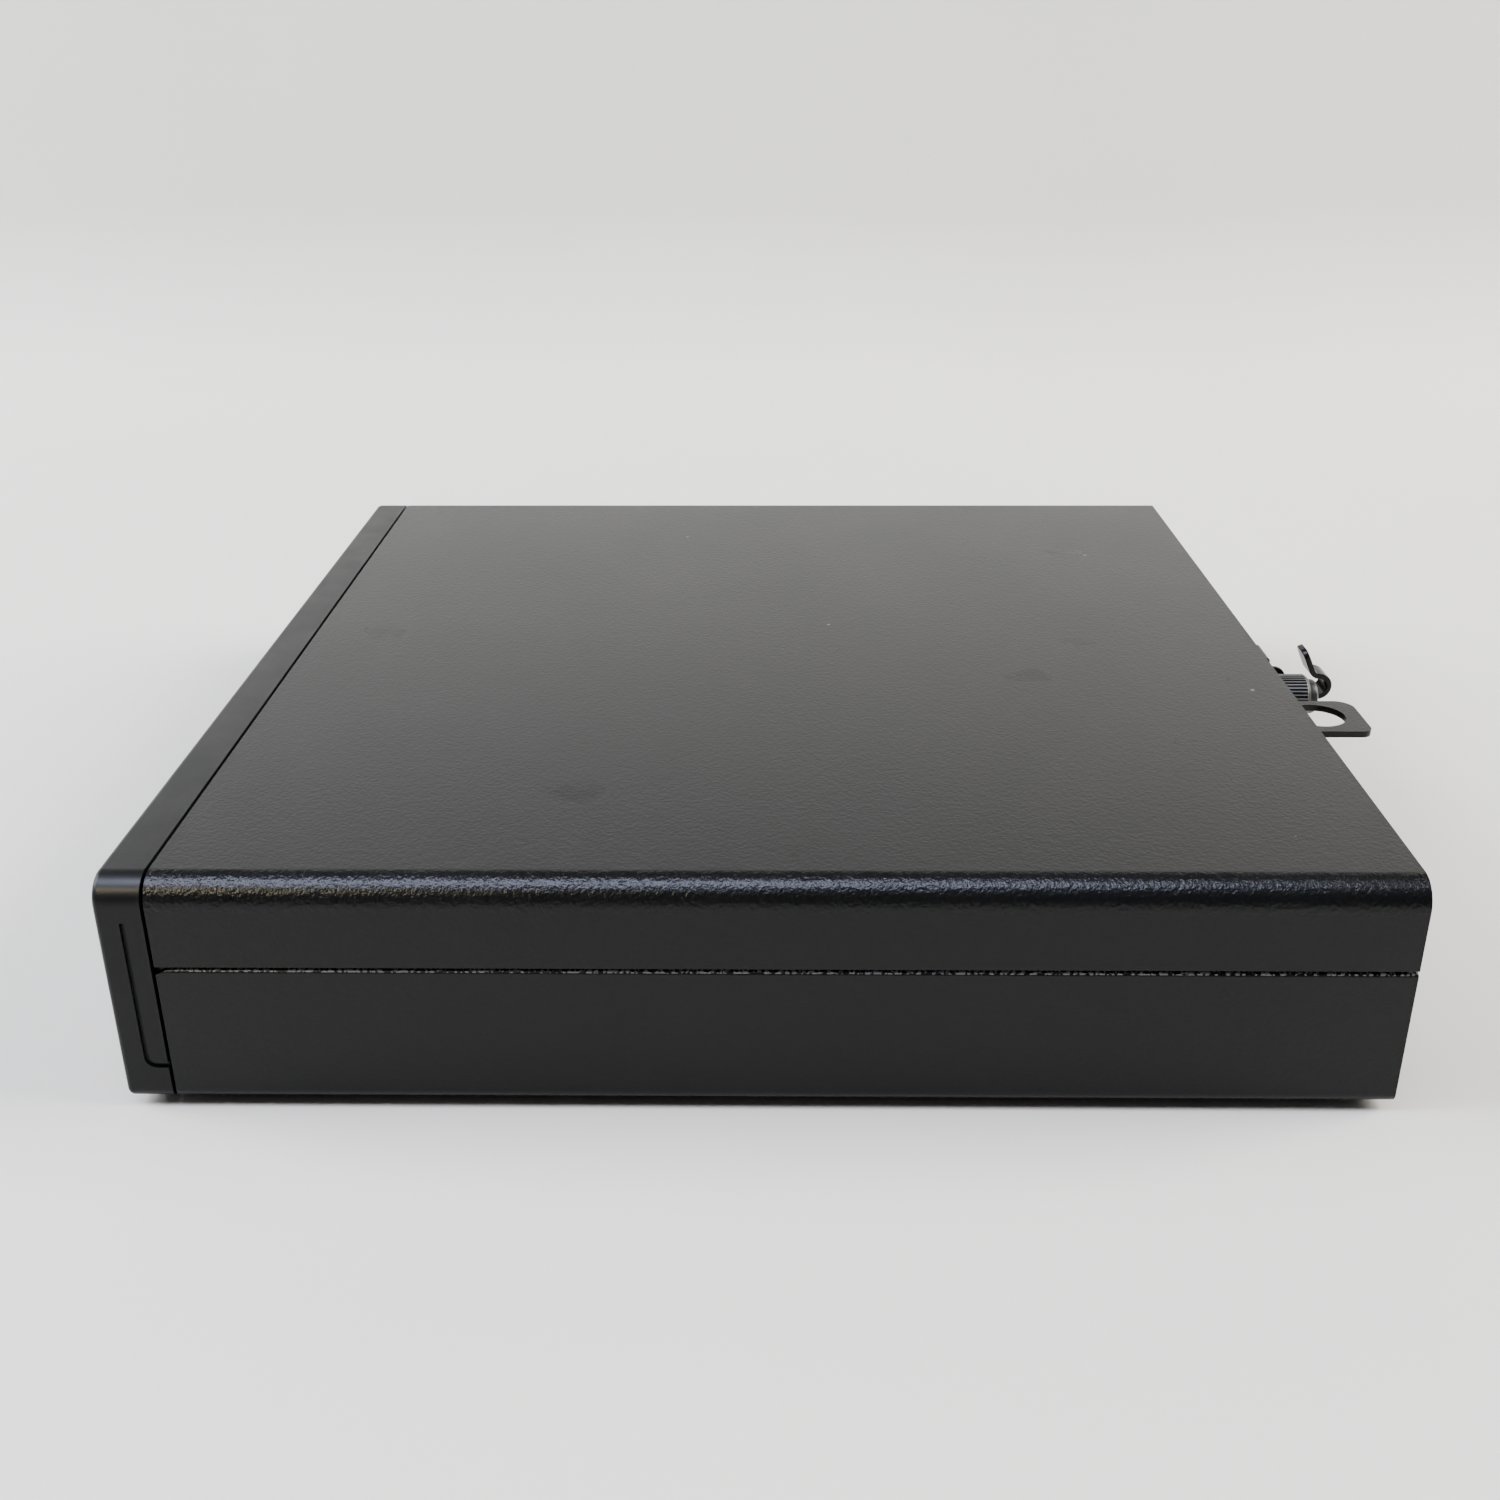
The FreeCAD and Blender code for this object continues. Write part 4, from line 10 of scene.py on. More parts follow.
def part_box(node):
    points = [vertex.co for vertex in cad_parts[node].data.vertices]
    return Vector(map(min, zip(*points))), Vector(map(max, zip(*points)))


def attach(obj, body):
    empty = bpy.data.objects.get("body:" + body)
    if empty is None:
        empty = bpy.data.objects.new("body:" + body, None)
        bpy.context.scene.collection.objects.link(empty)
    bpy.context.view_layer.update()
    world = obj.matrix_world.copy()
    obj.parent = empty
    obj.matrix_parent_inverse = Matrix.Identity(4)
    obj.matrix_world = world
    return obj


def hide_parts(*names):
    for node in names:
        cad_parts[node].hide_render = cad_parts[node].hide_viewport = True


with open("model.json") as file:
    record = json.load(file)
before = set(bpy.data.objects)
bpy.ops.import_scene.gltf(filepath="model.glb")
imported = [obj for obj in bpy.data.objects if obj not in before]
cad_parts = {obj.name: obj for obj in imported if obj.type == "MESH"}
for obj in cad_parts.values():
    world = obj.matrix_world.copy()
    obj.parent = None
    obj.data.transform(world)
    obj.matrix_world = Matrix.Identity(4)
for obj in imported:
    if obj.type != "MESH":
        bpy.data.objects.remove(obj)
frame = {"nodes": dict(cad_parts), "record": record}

bl_info = {
    "name": "Compact desktop computer",
    "version": (1, 0, 0),
    "blender": (4, 5, 0),
    "location": "View3D > Sidebar > Computer",
    "description": "Models and finishes a compact desktop computer round its fixed frame",
    "category": "Add Mesh",
}

MM = 0.001
PAN_LOW, PAN_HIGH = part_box("chassis_pan")
COVER_LOW, COVER_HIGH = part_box("top_cover")
BEZEL_LOW, BEZEL_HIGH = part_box("front_bezel")
SCREW_LOW, SCREW_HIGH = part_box("thumbscrew")
SCREW_LEVEL = (SCREW_LOW.z + SCREW_HIGH.z) / 2
SIDE = PAN_HIGH.x
FRONT = PAN_LOW.y
REAR = PAN_HIGH.y
TOP = COVER_HIGH.z
FLOOR = PAN_LOW.z
NODE_SLOTS = {part["node"]: part["material_slot"] for part in frame["record"]["subparts"]}
NODE_BODIES = {n: body for body, nodes in frame["record"]["behaviour"]["bodies"].items() for n in nodes}


def linear(code):
    """An sRGB hex colour as the linear values that a shader takes."""
    parts = [int(code[i:i + 2], 16) / 255 for i in (1, 3, 5)]
    return [c / 12.92 if c <= 0.04045 else ((c + 0.055) / 1.055) ** 2.4 for c in parts] + [1.0]


def length(name, value, description):
    """A size in metres that the sidebar shows as a length."""
    return FloatProperty(name=name, description=description, default=value, min=0, unit="LENGTH", precision=5)


def colour(name, code, description):
    """A colour that the sidebar shows as a swatch."""
    return FloatVectorProperty(name=name, description=description, default=linear(code), min=0, max=1, size=4,
                               subtype="COLOR")


class ComputerSizes(bpy.types.PropertyGroup):
    """Sizes of the case's own details that the frame's boxes don't give."""
    sheet: length("Sheet", 0.8 * MM, "Thickness of the sheet steel")
    cover_bend: length("Cover bend", 4.0 * MM, "Outer radius of the cover's long bends")
    skirt: length("Skirt", 12.9 * MM, "Height of the cover's skirts")
    split: length("Split", 0.4 * MM, "Gap between skirt and pan")
    slide_gap: length("Slide gap", 0.3 * MM, "Gap between the skirt and the pan's flange")
    pan_bend: length("Pan bend", 1.6 * MM, "Outer radius of the pan's lower bends")
    fold: length("Fold", 0.6 * MM, "Outer radius of the pan's upper fold")
    edge: length("Edge", 0.14 * MM, "Rounding that the coat gives a cut edge")
    tab_left: length("Tab left", 4.2 * MM, "Rear tab to the left of the screw's axis")
    tab_right: length("Tab right", 8.4 * MM, "Rear tab to the right of the screw's axis")
    tab_bend: length("Tab bend", 0.6 * MM, "Outer radius of the rear tab's bend")
    tab_neck: length("Tab neck", 2.0 * MM, "Rear tab's bend starts this far right of the screw's axis")
    tab_relief: length("Tab relief", 2.6 * MM, "Rear tab widens this far below the top")
    screw_hole: length("Screw hole", 1.5 * MM, "Radius of the hole in the tab and the collar")
    tongue_offset: length("Tongue offset", 55 * MM, "Front tongue's middle from the case's middle")
    tongue_width: length("Tongue width", 12 * MM, "Width of a front tongue")
    tongue_drop: length("Tongue drop", 2.4 * MM, "Front tongue's top below the cover's top")
    bolt_hole: length("Bolt hole", 1.7 * MM, "Radius of the four holes in the floor")
    bolt_pitch: length("Bolt pitch", 100 * MM, "Between the floor's bolt holes, both ways")
    bezel_gap: length("Bezel gap", 0.5 * MM, "Gap between the bezel and the steel")
    bezel_wall: length("Bezel wall", 1.8 * MM, "Thickness of the bezel's walls")
    bezel_face: length("Bezel face", 2.2 * MM, "Thickness of the bezel's face")
    bezel_edge: length("Bezel edge", 0.9 * MM, "Rounding of the face's edges")
    groove_width: length("Groove width", 0.75 * MM, "Width of the line in the bezel's sides")
    groove_depth: length("Groove depth", 0.55 * MM, "Depth of the line in the bezel's sides")
    slot_pitch: length("Slot pitch", 4.0 * MM, "Between the bezel's air slots")
    slot_width: length("Slot width", 2.0 * MM, "Width of an air slot")
    grip: length("Grip", 4.0 * MM, "Radius of the thumbscrew's grip")
    knurl: length("Knurl", 0.3 * MM, "Depth of the knurl's grooves")
    ridges: IntProperty(name="Ridges", description="Ridges round the grip", default=38, min=12)
    padlock_hole: length("Padlock hole", 4.6 * MM, "Radius of the hole in the loop")
    foot: length("Foot", 8.0 * MM, "Radius of a foot")
    button: length("Button", 4.6 * MM, "Radius of the power button's face")


class ComputerColours(bpy.types.PropertyGroup):
    """Colours of the finishes that show from outside."""
    coat: colour("Coat", "#0b0c0d", "Powder coat on the steel")
    moulding: colour("Moulding", "#0e0f10", "Plastic of the bezel and button")
    # The steel colour also paints the highlight along the pan's upper fold.
    steel: colour("Steel", "#b9bbbc", "Steel where the coat has gone")
    spring: colour("Spring", "#0d0d0e", "Enamel on the cord hook")
    oxide: colour("Oxide", "#1b1b1b", "Black oxide on the thumbscrew")
    rubber: colour("Rubber", "#161616", "Feet")
    board: colour("Board", "#0d3b2c", "Solder mask on the circuit boards")
    paper: colour("Paper", "#e9e9e6", "Floor and backdrop")


def sizes():
    """The sizes as they stand in the scene."""
    return bpy.context.scene.computer_sizes


def colours():
    """The colours as they stand in the scene."""
    return bpy.context.scene.computer_colours


# Modelling.

def deselect():
    """Leave edit mode and select nothing."""
    if bpy.context.object and bpy.context.object.mode != "OBJECT":
        bpy.ops.object.mode_set(mode="OBJECT")
    bpy.ops.object.select_all(action="DESELECT")


def activate(piece):
    """Make a piece the only selected and active one."""
    deselect()
    piece.select_set(True)
    bpy.context.view_layer.objects.active = piece
    return piece


def settle(piece, name):
    """Put a piece's place into its mesh and name both."""
    activate(piece)
    bpy.ops.object.transform_apply(location=True, rotation=True, scale=True)
    piece.name = name
    piece.data.name = name
    return piece


def box(name, low, high):
    """A box between two corners."""
    deselect()
    low, high = Vector(low), Vector(high)
    bpy.ops.mesh.primitive_cube_add(size=1, location=(low + high) / 2, scale=high - low)
    return settle(bpy.context.object, name)


def rod(name, radius, start, end, sides=48):
    """A cylinder from one point to another."""
    deselect()
    start, end = Vector(start), Vector(end)
    turn = (end - start).to_track_quat("Z", "Y").to_euler()
    bpy.ops.mesh.primitive_cylinder_add(vertices=sides, radius=radius, depth=(end - start).length,
                                        location=(start + end) / 2, rotation=turn)
    return settle(bpy.context.object, name)


def turned(name, outline, sides, place, turn=(0, 0, 0)):
    """A piece turned on +Z from radius and level pairs, then put in its place."""
    deselect()
    radius, level = outline[0]
    bpy.ops.mesh.primitive_circle_add(vertices=sides, radius=radius, fill_type="NGON", location=(0, 0, level))
    bpy.ops.object.transform_apply(location=True, rotation=True, scale=True)
    bpy.ops.object.mode_set(mode="EDIT")
    bpy.ops.mesh.select_all(action="SELECT")
    for wider, higher in outline[1:]:
        bpy.ops.mesh.extrude_region_move(TRANSFORM_OT_translate={"value": (0, 0, higher - level)})
        scale = wider / radius
        bpy.ops.transform.resize(value=(scale, scale, 1), center_override=(0, 0, higher))
        radius, level = wider, higher
    bpy.ops.mesh.select_all(action="SELECT")
    bpy.ops.mesh.remove_doubles(threshold=1e-7)
    bpy.ops.mesh.normals_make_consistent(inside=False)
    bpy.ops.object.mode_set(mode="OBJECT")
    piece = bpy.context.object
    piece.rotation_euler = turn
    piece.location = place
    return settle(piece, name)


def middle(item):
    """The middle of a face or an edge."""
    if isinstance(item, bmesh.types.BMFace):
        return item.calc_center_median()
    return (item.verts[0].co + item.verts[1].co) / 2


def along(edge, axis):
    """Whether an edge runs along an axis."""
    run = edge.verts[1].co - edge.verts[0].co
    return abs(run[axis]) > 0.999 * run.length


def near(value, target, slack=0.02 * MM):
    """Whether two places are the same."""
    return abs(value - target) < slack


def choose(piece, kind, test):
    """Select in edit mode the faces, edges or vertices that a test picks."""
    if bpy.context.object != piece:
        activate(piece)
    bpy.ops.object.mode_set(mode="EDIT")
    bpy.ops.mesh.select_mode(type=kind)
    bpy.ops.mesh.select_all(action="DESELECT")
    mesh = bmesh.from_edit_mesh(piece.data)
    found = [item for item in {"FACE": mesh.faces, "EDGE": mesh.edges, "VERT": mesh.verts}[kind] if test(item)]
    if not found:
        raise RuntimeError(f"{piece.name}: nothing to select")
    for item in found:
        item.select_set(True)
    mesh.select_flush_mode()
    bmesh.update_edit_mesh(piece.data)


def round_edges(piece, radius, segments, test):
    """Bevel the edges that a test picks."""
    choose(piece, "EDGE", test)
    bpy.ops.mesh.bevel(offset=radius, segments=segments, profile=0.5, affect="EDGES", clamp_overlap=True)
    bpy.ops.object.mode_set(mode="OBJECT")


def remove_faces(piece, test):
    """Delete the faces that a test picks."""
    choose(piece, "FACE", test)
    bpy.ops.mesh.delete(type="FACE")
    bpy.ops.object.mode_set(mode="OBJECT")


def extrude(piece, kind, test, *steps):
    """Extrude what a test picks, step by step."""
    choose(piece, kind, test)
    for step in steps:
        bpy.ops.mesh.extrude_region_move(TRANSFORM_OT_translate={"value": step})
    bpy.ops.object.mode_set(mode="OBJECT")


def split_at(piece, place, normal):
    """Cut the faces of a piece along a plane."""
    activate(piece)
    bpy.ops.object.mode_set(mode="EDIT")
    bpy.ops.mesh.select_all(action="SELECT")
    bpy.ops.mesh.bisect(plane_co=place, plane_no=normal)
    bpy.ops.object.mode_set(mode="OBJECT")


def modify(piece, kind, **settings):
    """Add a modifier and apply it."""
    activate(piece)
    modifier = piece.modifiers.new(kind.title(), kind)
    for name, value in settings.items():
        setattr(modifier, name, value)
    bpy.ops.object.modifier_apply(modifier=modifier.name)


def merge(pieces, name):
    """Join several pieces into one object."""
    activate(pieces[0])
    for piece in pieces:
        piece.select_set(True)
    if len(pieces) > 1:
        bpy.ops.object.join()
    pieces[0].name = name
    return pieces[0]


def carve(piece, tools, operation="DIFFERENCE"):
    """Cut tools out of a piece, or weld them to it."""
    tool = merge(tools, piece.name + "_tool")
    modify(piece, "BOOLEAN", object=tool, operation=operation, solver="EXACT", use_self=len(tools) > 1)
    bpy.data.objects.remove(tool)


def repeated(tool, count, step):
    """A row of copies in one mesh."""
    modify(tool, "ARRAY", count=count, use_relative_offset=False, use_constant_offset=True,
           constant_offset_displace=step)
    return tool


def ease(piece, width, segments=2):
    """Round every sharp edge a little and shade the piece smoothly between flats."""
    if width:
        modify(piece, "BEVEL", width=width, segments=segments, limit_method="ANGLE",
               angle_limit=math.radians(40), use_clamp_overlap=True, miter_outer="MITER_ARC")
    activate(piece)
    bpy.ops.object.shade_smooth_by_angle(angle=math.radians(35))
    modify(piece, "WEIGHTED_NORMAL", keep_sharp=True, weight=60)


def finish(piece, node, material):
    """Let a piece stand for a node of the frame, on its body and in its slot."""
    piece.data.materials.clear()
    piece.data.materials.append(material)
    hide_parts(node)
    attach(piece, NODE_BODIES[node])
    return piece


def eased_copy(node, width, segments=1):
    """A merged copy of a node's mesh with its flats cleaned and its edges eased."""
    deselect()
    piece = bpy.data.objects.new(node + "_eased", frame["nodes"][node].data.copy())
    bpy.context.scene.collection.objects.link(piece)
    activate(piece)
    if piece.data.has_custom_normals:
        bpy.ops.mesh.customdata_custom_splitnormals_clear()
    bpy.ops.object.mode_set(mode="EDIT")
    bpy.ops.mesh.select_all(action="SELECT")
    bpy.ops.mesh.remove_doubles(threshold=1e-6)
    bpy.ops.mesh.dissolve_limited(angle_limit=math.radians(0.5))
    bpy.ops.object.mode_set(mode="OBJECT")
    ease(piece, width, segments)
    return piece


# Materials. A pattern's size is that of the real surface, in millimetres; grain too fine to show is drawn coarser.

def add(tree, kind, settings):
    """Add a shader node; each setting is a property, a socket's value or what links into the socket."""
    made = tree.nodes.new("ShaderNode" + kind)
    for name, value in settings.items():
        if isinstance(name, str) and hasattr(made, name):
            setattr(made, name, value)
        elif isinstance(value, bpy.types.Node):
            tree.links.new(value.outputs[0], made.inputs[name])
        elif isinstance(value, bpy.types.NodeSocket):
            tree.links.new(value, made.inputs[name])
        else:
            made.inputs[name].default_value = value
    return made


def shade(tint, share):
    """A colour made darker or lighter."""
    return [min(c * share, 1) for c in tint[:3]] + [1]


def new_material(name):
    """An empty material, its tree and the object's coordinates."""
    material = bpy.data.materials.new(name)
    material.use_nodes = True
    tree = material.node_tree
    tree.nodes.clear()
    return material, tree, add(tree, "TexCoord", {}).outputs["Object"]


def powder_coat(name):
    """Black polyester powder coat on steel: satin, with a hard grain that glitters where the sheet bends."""
    tint = colours()
    material, tree, place = new_material(name)
    axes = add(tree, "SeparateXYZ", {"Vector": place}).outputs
    aside = add(tree, "Math", {"operation": "ABSOLUTE", 0: axes["X"]})
    cloud = add(tree, "TexNoise", {"Vector": place, "Scale": 1 / (30 * MM), "Detail": 3, "Roughness": 0.55})
    ragged = add(tree, "TexNoise", {"Vector": place, "Scale": 1 / (0.5 * MM)})

    # Painted highlight: short dashes of pale steel grey along the pan's upper fold, where it catches the light.
    fold = TOP - sizes().skirt - sizes().split
    flank = add(tree, "Math", {"operation": "GREATER_THAN", 0: aside, 1: SIDE - 0.75 * MM})
    band = add(tree, "Math", {"operation": "COMPARE", 0: axes["Z"], 1: fold - 0.135 * MM, 2: 0.185 * MM})
    edge = add(tree, "Math", {"operation": "MULTIPLY", 0: flank, 1: band})
    dashes = add(tree, "Math", {"operation": "GREATER_THAN", 0: ragged, 1: 0.51})
    painted_fold_highlight = add(tree, "Math", {"operation": "MULTIPLY", 0: edge, 1: dashes})

    # A few chips, half a millimetre wide and some 16 mm apart, show the steel.
    cells = add(tree, "TexVoronoi", {"Vector": place, "Scale": 1 / (16 * MM)})
    frayed = add(tree, "Math", {"operation": "MULTIPLY_ADD", 0: ragged, 1: 0.03, 2: cells})
    chips = add(tree, "Math", {"operation": "LESS_THAN", 0: frayed, 1: 0.034})
    # The chips are real wear; the fold's dashes are a painted highlight in the same steel grey.
    chips_and_fold_highlight = add(tree, "Math", {"operation": "MAXIMUM", 0: chips, 1: painted_fold_highlight})
    drift = add(tree, "MapRange", {"Value": cloud, "From Min": 0.3, "From Max": 0.7})
    black = add(tree, "MixRGB", {"Fac": drift, "Color1": shade(tint.coat, 0.8), "Color2": shade(tint.coat, 1.15)})
    base = add(tree, "MixRGB", {"Fac": chips_and_fold_highlight, "Color1": black, "Color2": shade(tint.steel, 0.36)})

    # Fingers have left dull patches on the top, about 26 mm apart.
    askew = add(tree, "Mapping", {"Vector": place, "Rotation": (0, 0, 0.5), "Scale": (1, 0.6, 1)})
    touches = add(tree, "TexVoronoi", {"Vector": askew, "Scale": 1 / (26 * MM)})
    wobble = add(tree, "TexNoise", {"Vector": place, "Scale": 1 / (5 * MM)})
    outline = add(tree, "Math", {"operation": "MULTIPLY_ADD", 0: wobble, 1: 0.16, 2: touches})
    upper = add(tree, "Math", {"operation": "GREATER_THAN", 0: axes["Z"], 1: TOP - 0.3 * MM})
    marks = add(tree, "MapRange", {"Value": outline, "From Min": 0.14, "From Max": 0.2, "To Min": upper, "To Max": 0})
    gloss = add(tree, "MapRange", {"Value": cloud, "From Min": 0.25, "From Max": 0.75,
                                   "To Min": 0.27, "To Max": 0.31})
    rough = add(tree, "Mix", {"Factor": marks, "A": gloss, "B": 0.24})
    sheen = add(tree, "Mix", {"Factor": marks, "A": 0.17, "B": 0.12})

    # The real grain is about 0.2 mm wide. It is drawn at 0.6 mm, and stands out only along the cover's long bends.
    grain = add(tree, "TexNoise", {"Vector": place, "Scale": 1 / (0.6 * MM), "Roughness": 0.55})
    shoulder = add(tree, "Math", {"operation": "COMPARE", 0: axes["Z"], 1: TOP - 2.26 * MM, 2: 2.24 * MM})
    corner = add(tree, "Math", {"operation": "GREATER_THAN", 0: aside, 1: SIDE - 4.2 * MM})
    bend = add(tree, "Math", {"operation": "MULTIPLY", 0: shoulder, 1: corner})
    strength = add(tree, "Math", {"operation": "MULTIPLY_ADD", 0: bend, 1: 0.65, 2: 0.35})
    bump = add(tree, "Bump", {"Height": grain, "Strength": strength, "Distance": 0.14 * MM})
    coat = add(tree, "BsdfPrincipled", {"Base Color": base, "Roughness": rough, "IOR": 1.5, "Normal": bump,
                                        "Specular IOR Level": sheen})
    add(tree, "OutputMaterial", {"Surface": coat})
    return material


def plain_finish(name, tint, roughness, metallic, grain, depth, spread=0.12):
    """A finish with one fine grain, whose colour and gloss drift a little in patches 25 grains wide."""
    material, tree, place = new_material(name)
    fine = add(tree, "TexNoise", {"Vector": place, "Scale": 1 / grain, "Roughness": 0.6})
    broad = add(tree, "TexNoise", {"Vector": place, "Scale": 1 / (grain * 25), "Detail": 3, "Roughness": 0.55})
    drift = add(tree, "MapRange", {"Value": broad, "From Min": 0.3, "From Max": 0.7})
    less, more = 1 - spread, 1 + spread
    base = add(tree, "MixRGB", {"Fac": drift, "Color1": shade(tint, less), "Color2": shade(tint, more)})
    rough = add(tree, "Mix", {"Factor": drift, "A": roughness * less, "B": roughness * more})
    bump = add(tree, "Bump", {"Height": fine, "Strength": 0.6, "Distance": depth})
    settings = {"Base Color": base, "Roughness": rough, "Normal": bump, "Metallic": metallic}
    if not metallic:
        settings.update({"IOR": 1.5, "Specular IOR Level": 0.15})
    add(tree, "OutputMaterial", {"Surface": add(tree, "BsdfPrincipled", settings)})
    return material


def brushed_metal(name, code, roughness, stretch):
    """Metal with fine parallel lines from rolling, extruding or brushing, stretched along one axis."""
    material, tree, place = new_material(name)
    tint = linear(code)
    drawn = add(tree, "Mapping", {"Vector": place, "Scale": stretch})
    lines = add(tree, "TexNoise", {"Vector": drawn, "Scale": 1 / (0.35 * MM), "Detail": 3, "Roughness": 0.6})
    drift = add(tree, "MapRange", {"Value": lines, "From Min": 0.3, "From Max": 0.7})
    base = add(tree, "MixRGB", {"Fac": drift, "Color1": shade(tint, 0.8), "Color2": tint})
    rough = add(tree, "Mix", {"Factor": drift, "A": roughness * 0.8, "B": roughness * 1.3})
    bump = add(tree, "Bump", {"Height": lines, "Strength": 0.5, "Distance": 0.01 * MM})
    metal = add(tree, "BsdfPrincipled", {"Base Color": base, "Roughness": rough, "Normal": bump, "Metallic": 1})
    add(tree, "OutputMaterial", {"Surface": metal})
    return material


def circuit_board(name="solder_mask", level=None, cap="#1b1b1d", metal=False):
    """Glass-epoxy board under green solder mask: tracks glint under it, and its chips or cans start at a level."""
    tint = colours().board
    material, tree, place = new_material(name)

    # Copper tracks in two directions, 1.5 mm and 2.7 mm apart, each kind in its own parts of the board.
    tracks = {"Mortar Size": 0.035, "Mortar Smooth": 0, "Brick Width": 2.4, "Row Height": 0.16, "offset": 0.37}
    first = add(tree, "TexBrick", {"Vector": place, "Scale": 1 / (9 * MM), **tracks}).outputs["Fac"]
    turn = add(tree, "Mapping", {"Vector": place, "Rotation": (0, 0, math.radians(90))})
    tracks = {"Mortar Size": 0.03, "Mortar Smooth": 0, "Brick Width": 1.9, "Row Height": 0.21, "offset": 0.61}
    second = add(tree, "TexBrick", {"Vector": turn, "Scale": 1 / (13 * MM), **tracks}).outputs["Fac"]
    patch = add(tree, "TexNoise", {"Vector": place, "Scale": 1 / (24 * MM), "Detail": 1})
    zone = add(tree, "Math", {"operation": "GREATER_THAN", 0: patch, 1: 0.5})
    copper = add(tree, "Mix", {"Factor": zone, "A": first, "B": second})
    lit = [min(1, c * 1.9 + 0.004) for c in tint[:3]] + [1]
    base = add(tree, "MixRGB", {"Fac": copper, "Color1": tint, "Color2": lit})

    # Tinned holes, about 4 mm apart.
    cells = add(tree, "TexVoronoi", {"Vector": place, "Scale": 1 / (4.2 * MM)})
    holes = add(tree, "Math", {"operation": "LESS_THAN", 0: cells, 1: 0.09})
    base = add(tree, "MixRGB", {"Fac": holes, "Color1": base, "Color2": linear("#8d9a7a")})
    cloud = add(tree, "TexNoise", {"Vector": place, "Scale": 1 / (12 * MM)})
    rough = add(tree, "MapRange", {"Value": cloud, "From Min": 0.3, "From Max": 0.7, "To Min": 0.3, "To Max": 0.42})
    settings = {"Roughness": rough, "IOR": 1.5}
    if level is not None:
        height = add(tree, "SeparateXYZ", {"Vector": place}).outputs["Z"]
        raised = add(tree, "Math", {"operation": "GREATER_THAN", 0: height, 1: level})
        base = add(tree, "MixRGB", {"Fac": raised, "Color1": base, "Color2": linear(cap)})
        flat = add(tree, "Math", {"operation": "SUBTRACT", 0: 1.0, 1: raised})
        copper = add(tree, "Math", {"operation": "MULTIPLY", 0: copper, 1: flat})
        if metal:
            settings["Metallic"] = raised
    bump = add(tree, "Bump", {"Height": copper, "Strength": 0.7, "Distance": 0.03 * MM})
    board = add(tree, "BsdfPrincipled", {"Base Color": base, "Normal": bump, **settings})
    add(tree, "OutputMaterial", {"Surface": board})
    return material


def black_oxide():
    """Black oxide on turned steel: dark and oily, worn through to grey on the knurl's ridges and the end's rim."""
    tint = colours()
    material, tree, place = new_material("black_oxide")
    flat = add(tree, "Mapping", {"Vector": place, "Location": (0, 0, -SCREW_LEVEL), "Scale": (1, 0, 1)})
    radius = add(tree, "VectorMath", {"operation": "LENGTH", 0: flat}).outputs["Value"]
    patchy = add(tree, "TexNoise", {"Vector": place, "Scale": 1 / (0.9 * MM), "Detail": 3, "Roughness": 0.6})
    reach = add(tree, "Math", {"operation": "MULTIPLY_ADD", 0: patchy, 1: 0.12 * MM, 2: radius})
    worn = add(tree, "Math", {"operation": "GREATER_THAN", 0: reach, 1: sizes().grip + 0.03 * MM})
    base = add(tree, "MixRGB", {"Fac": worn, "Color1": tint.oxide, "Color2": shade(tint.steel, 0.32)})
    rough = add(tree, "MapRange", {"Value": patchy, "From Min": 0.3, "From Max": 0.7, "To Min": 0.3, "To Max": 0.45})
    grain = add(tree, "TexNoise", {"Vector": place, "Scale": 1 / (0.2 * MM)})
    bump = add(tree, "Bump", {"Height": grain, "Strength": 0.6, "Distance": 0.012 * MM})
    oxide = add(tree, "BsdfPrincipled", {"Base Color": base, "Roughness": rough, "Normal": bump, "Metallic": 0.12,
                                         "IOR": 1.5, "Specular IOR Level": 0.35})
    add(tree, "OutputMaterial", {"Surface": oxide})
    return material


def clear_acrylic():
    """Moulded clear acrylic: smooth, and bright at its edges."""
    material, tree, place = new_material("clear_acrylic")
    cloud = add(tree, "TexNoise", {"Vector": place, "Scale": 1 / (3 * MM)})
    rough = add(tree, "MapRange", {"Value": cloud, "From Min": 0.3, "From Max": 0.7, "To Min": 0.08, "To Max": 0.2})
    acrylic = add(tree, "BsdfPrincipled", {"Base Color": linear("#f2f6f8"), "Roughness": rough, "IOR": 1.49,
                                           "Transmission Weight": 0.9})
    add(tree, "OutputMaterial", {"Surface": acrylic})
    return material


def seamless_paper():
    """Matt studio paper: even and pale, with a barely visible tooth."""
    material, tree, place = new_material("seamless_paper")
    tint = colours().paper
    cloud = add(tree, "TexNoise", {"Vector": place, "Scale": 1 / (160 * MM), "Detail": 3})
    drift = add(tree, "MapRange", {"Value": cloud, "From Min": 0.3, "From Max": 0.7})
    base = add(tree, "MixRGB", {"Fac": drift, "Color1": shade(tint, 0.965), "Color2": tint})
    tooth = add(tree, "TexNoise", {"Vector": place, "Scale": 1 / (0.8 * MM), "Detail": 3})
    bump = add(tree, "Bump", {"Height": tooth, "Strength": 0.4, "Distance": 0.02 * MM})
    paper = add(tree, "BsdfPrincipled", {"Base Color": base, "Roughness": 0.75, "IOR": 1.4, "Normal": bump})
    add(tree, "OutputMaterial", {"Surface": paper})
    return material


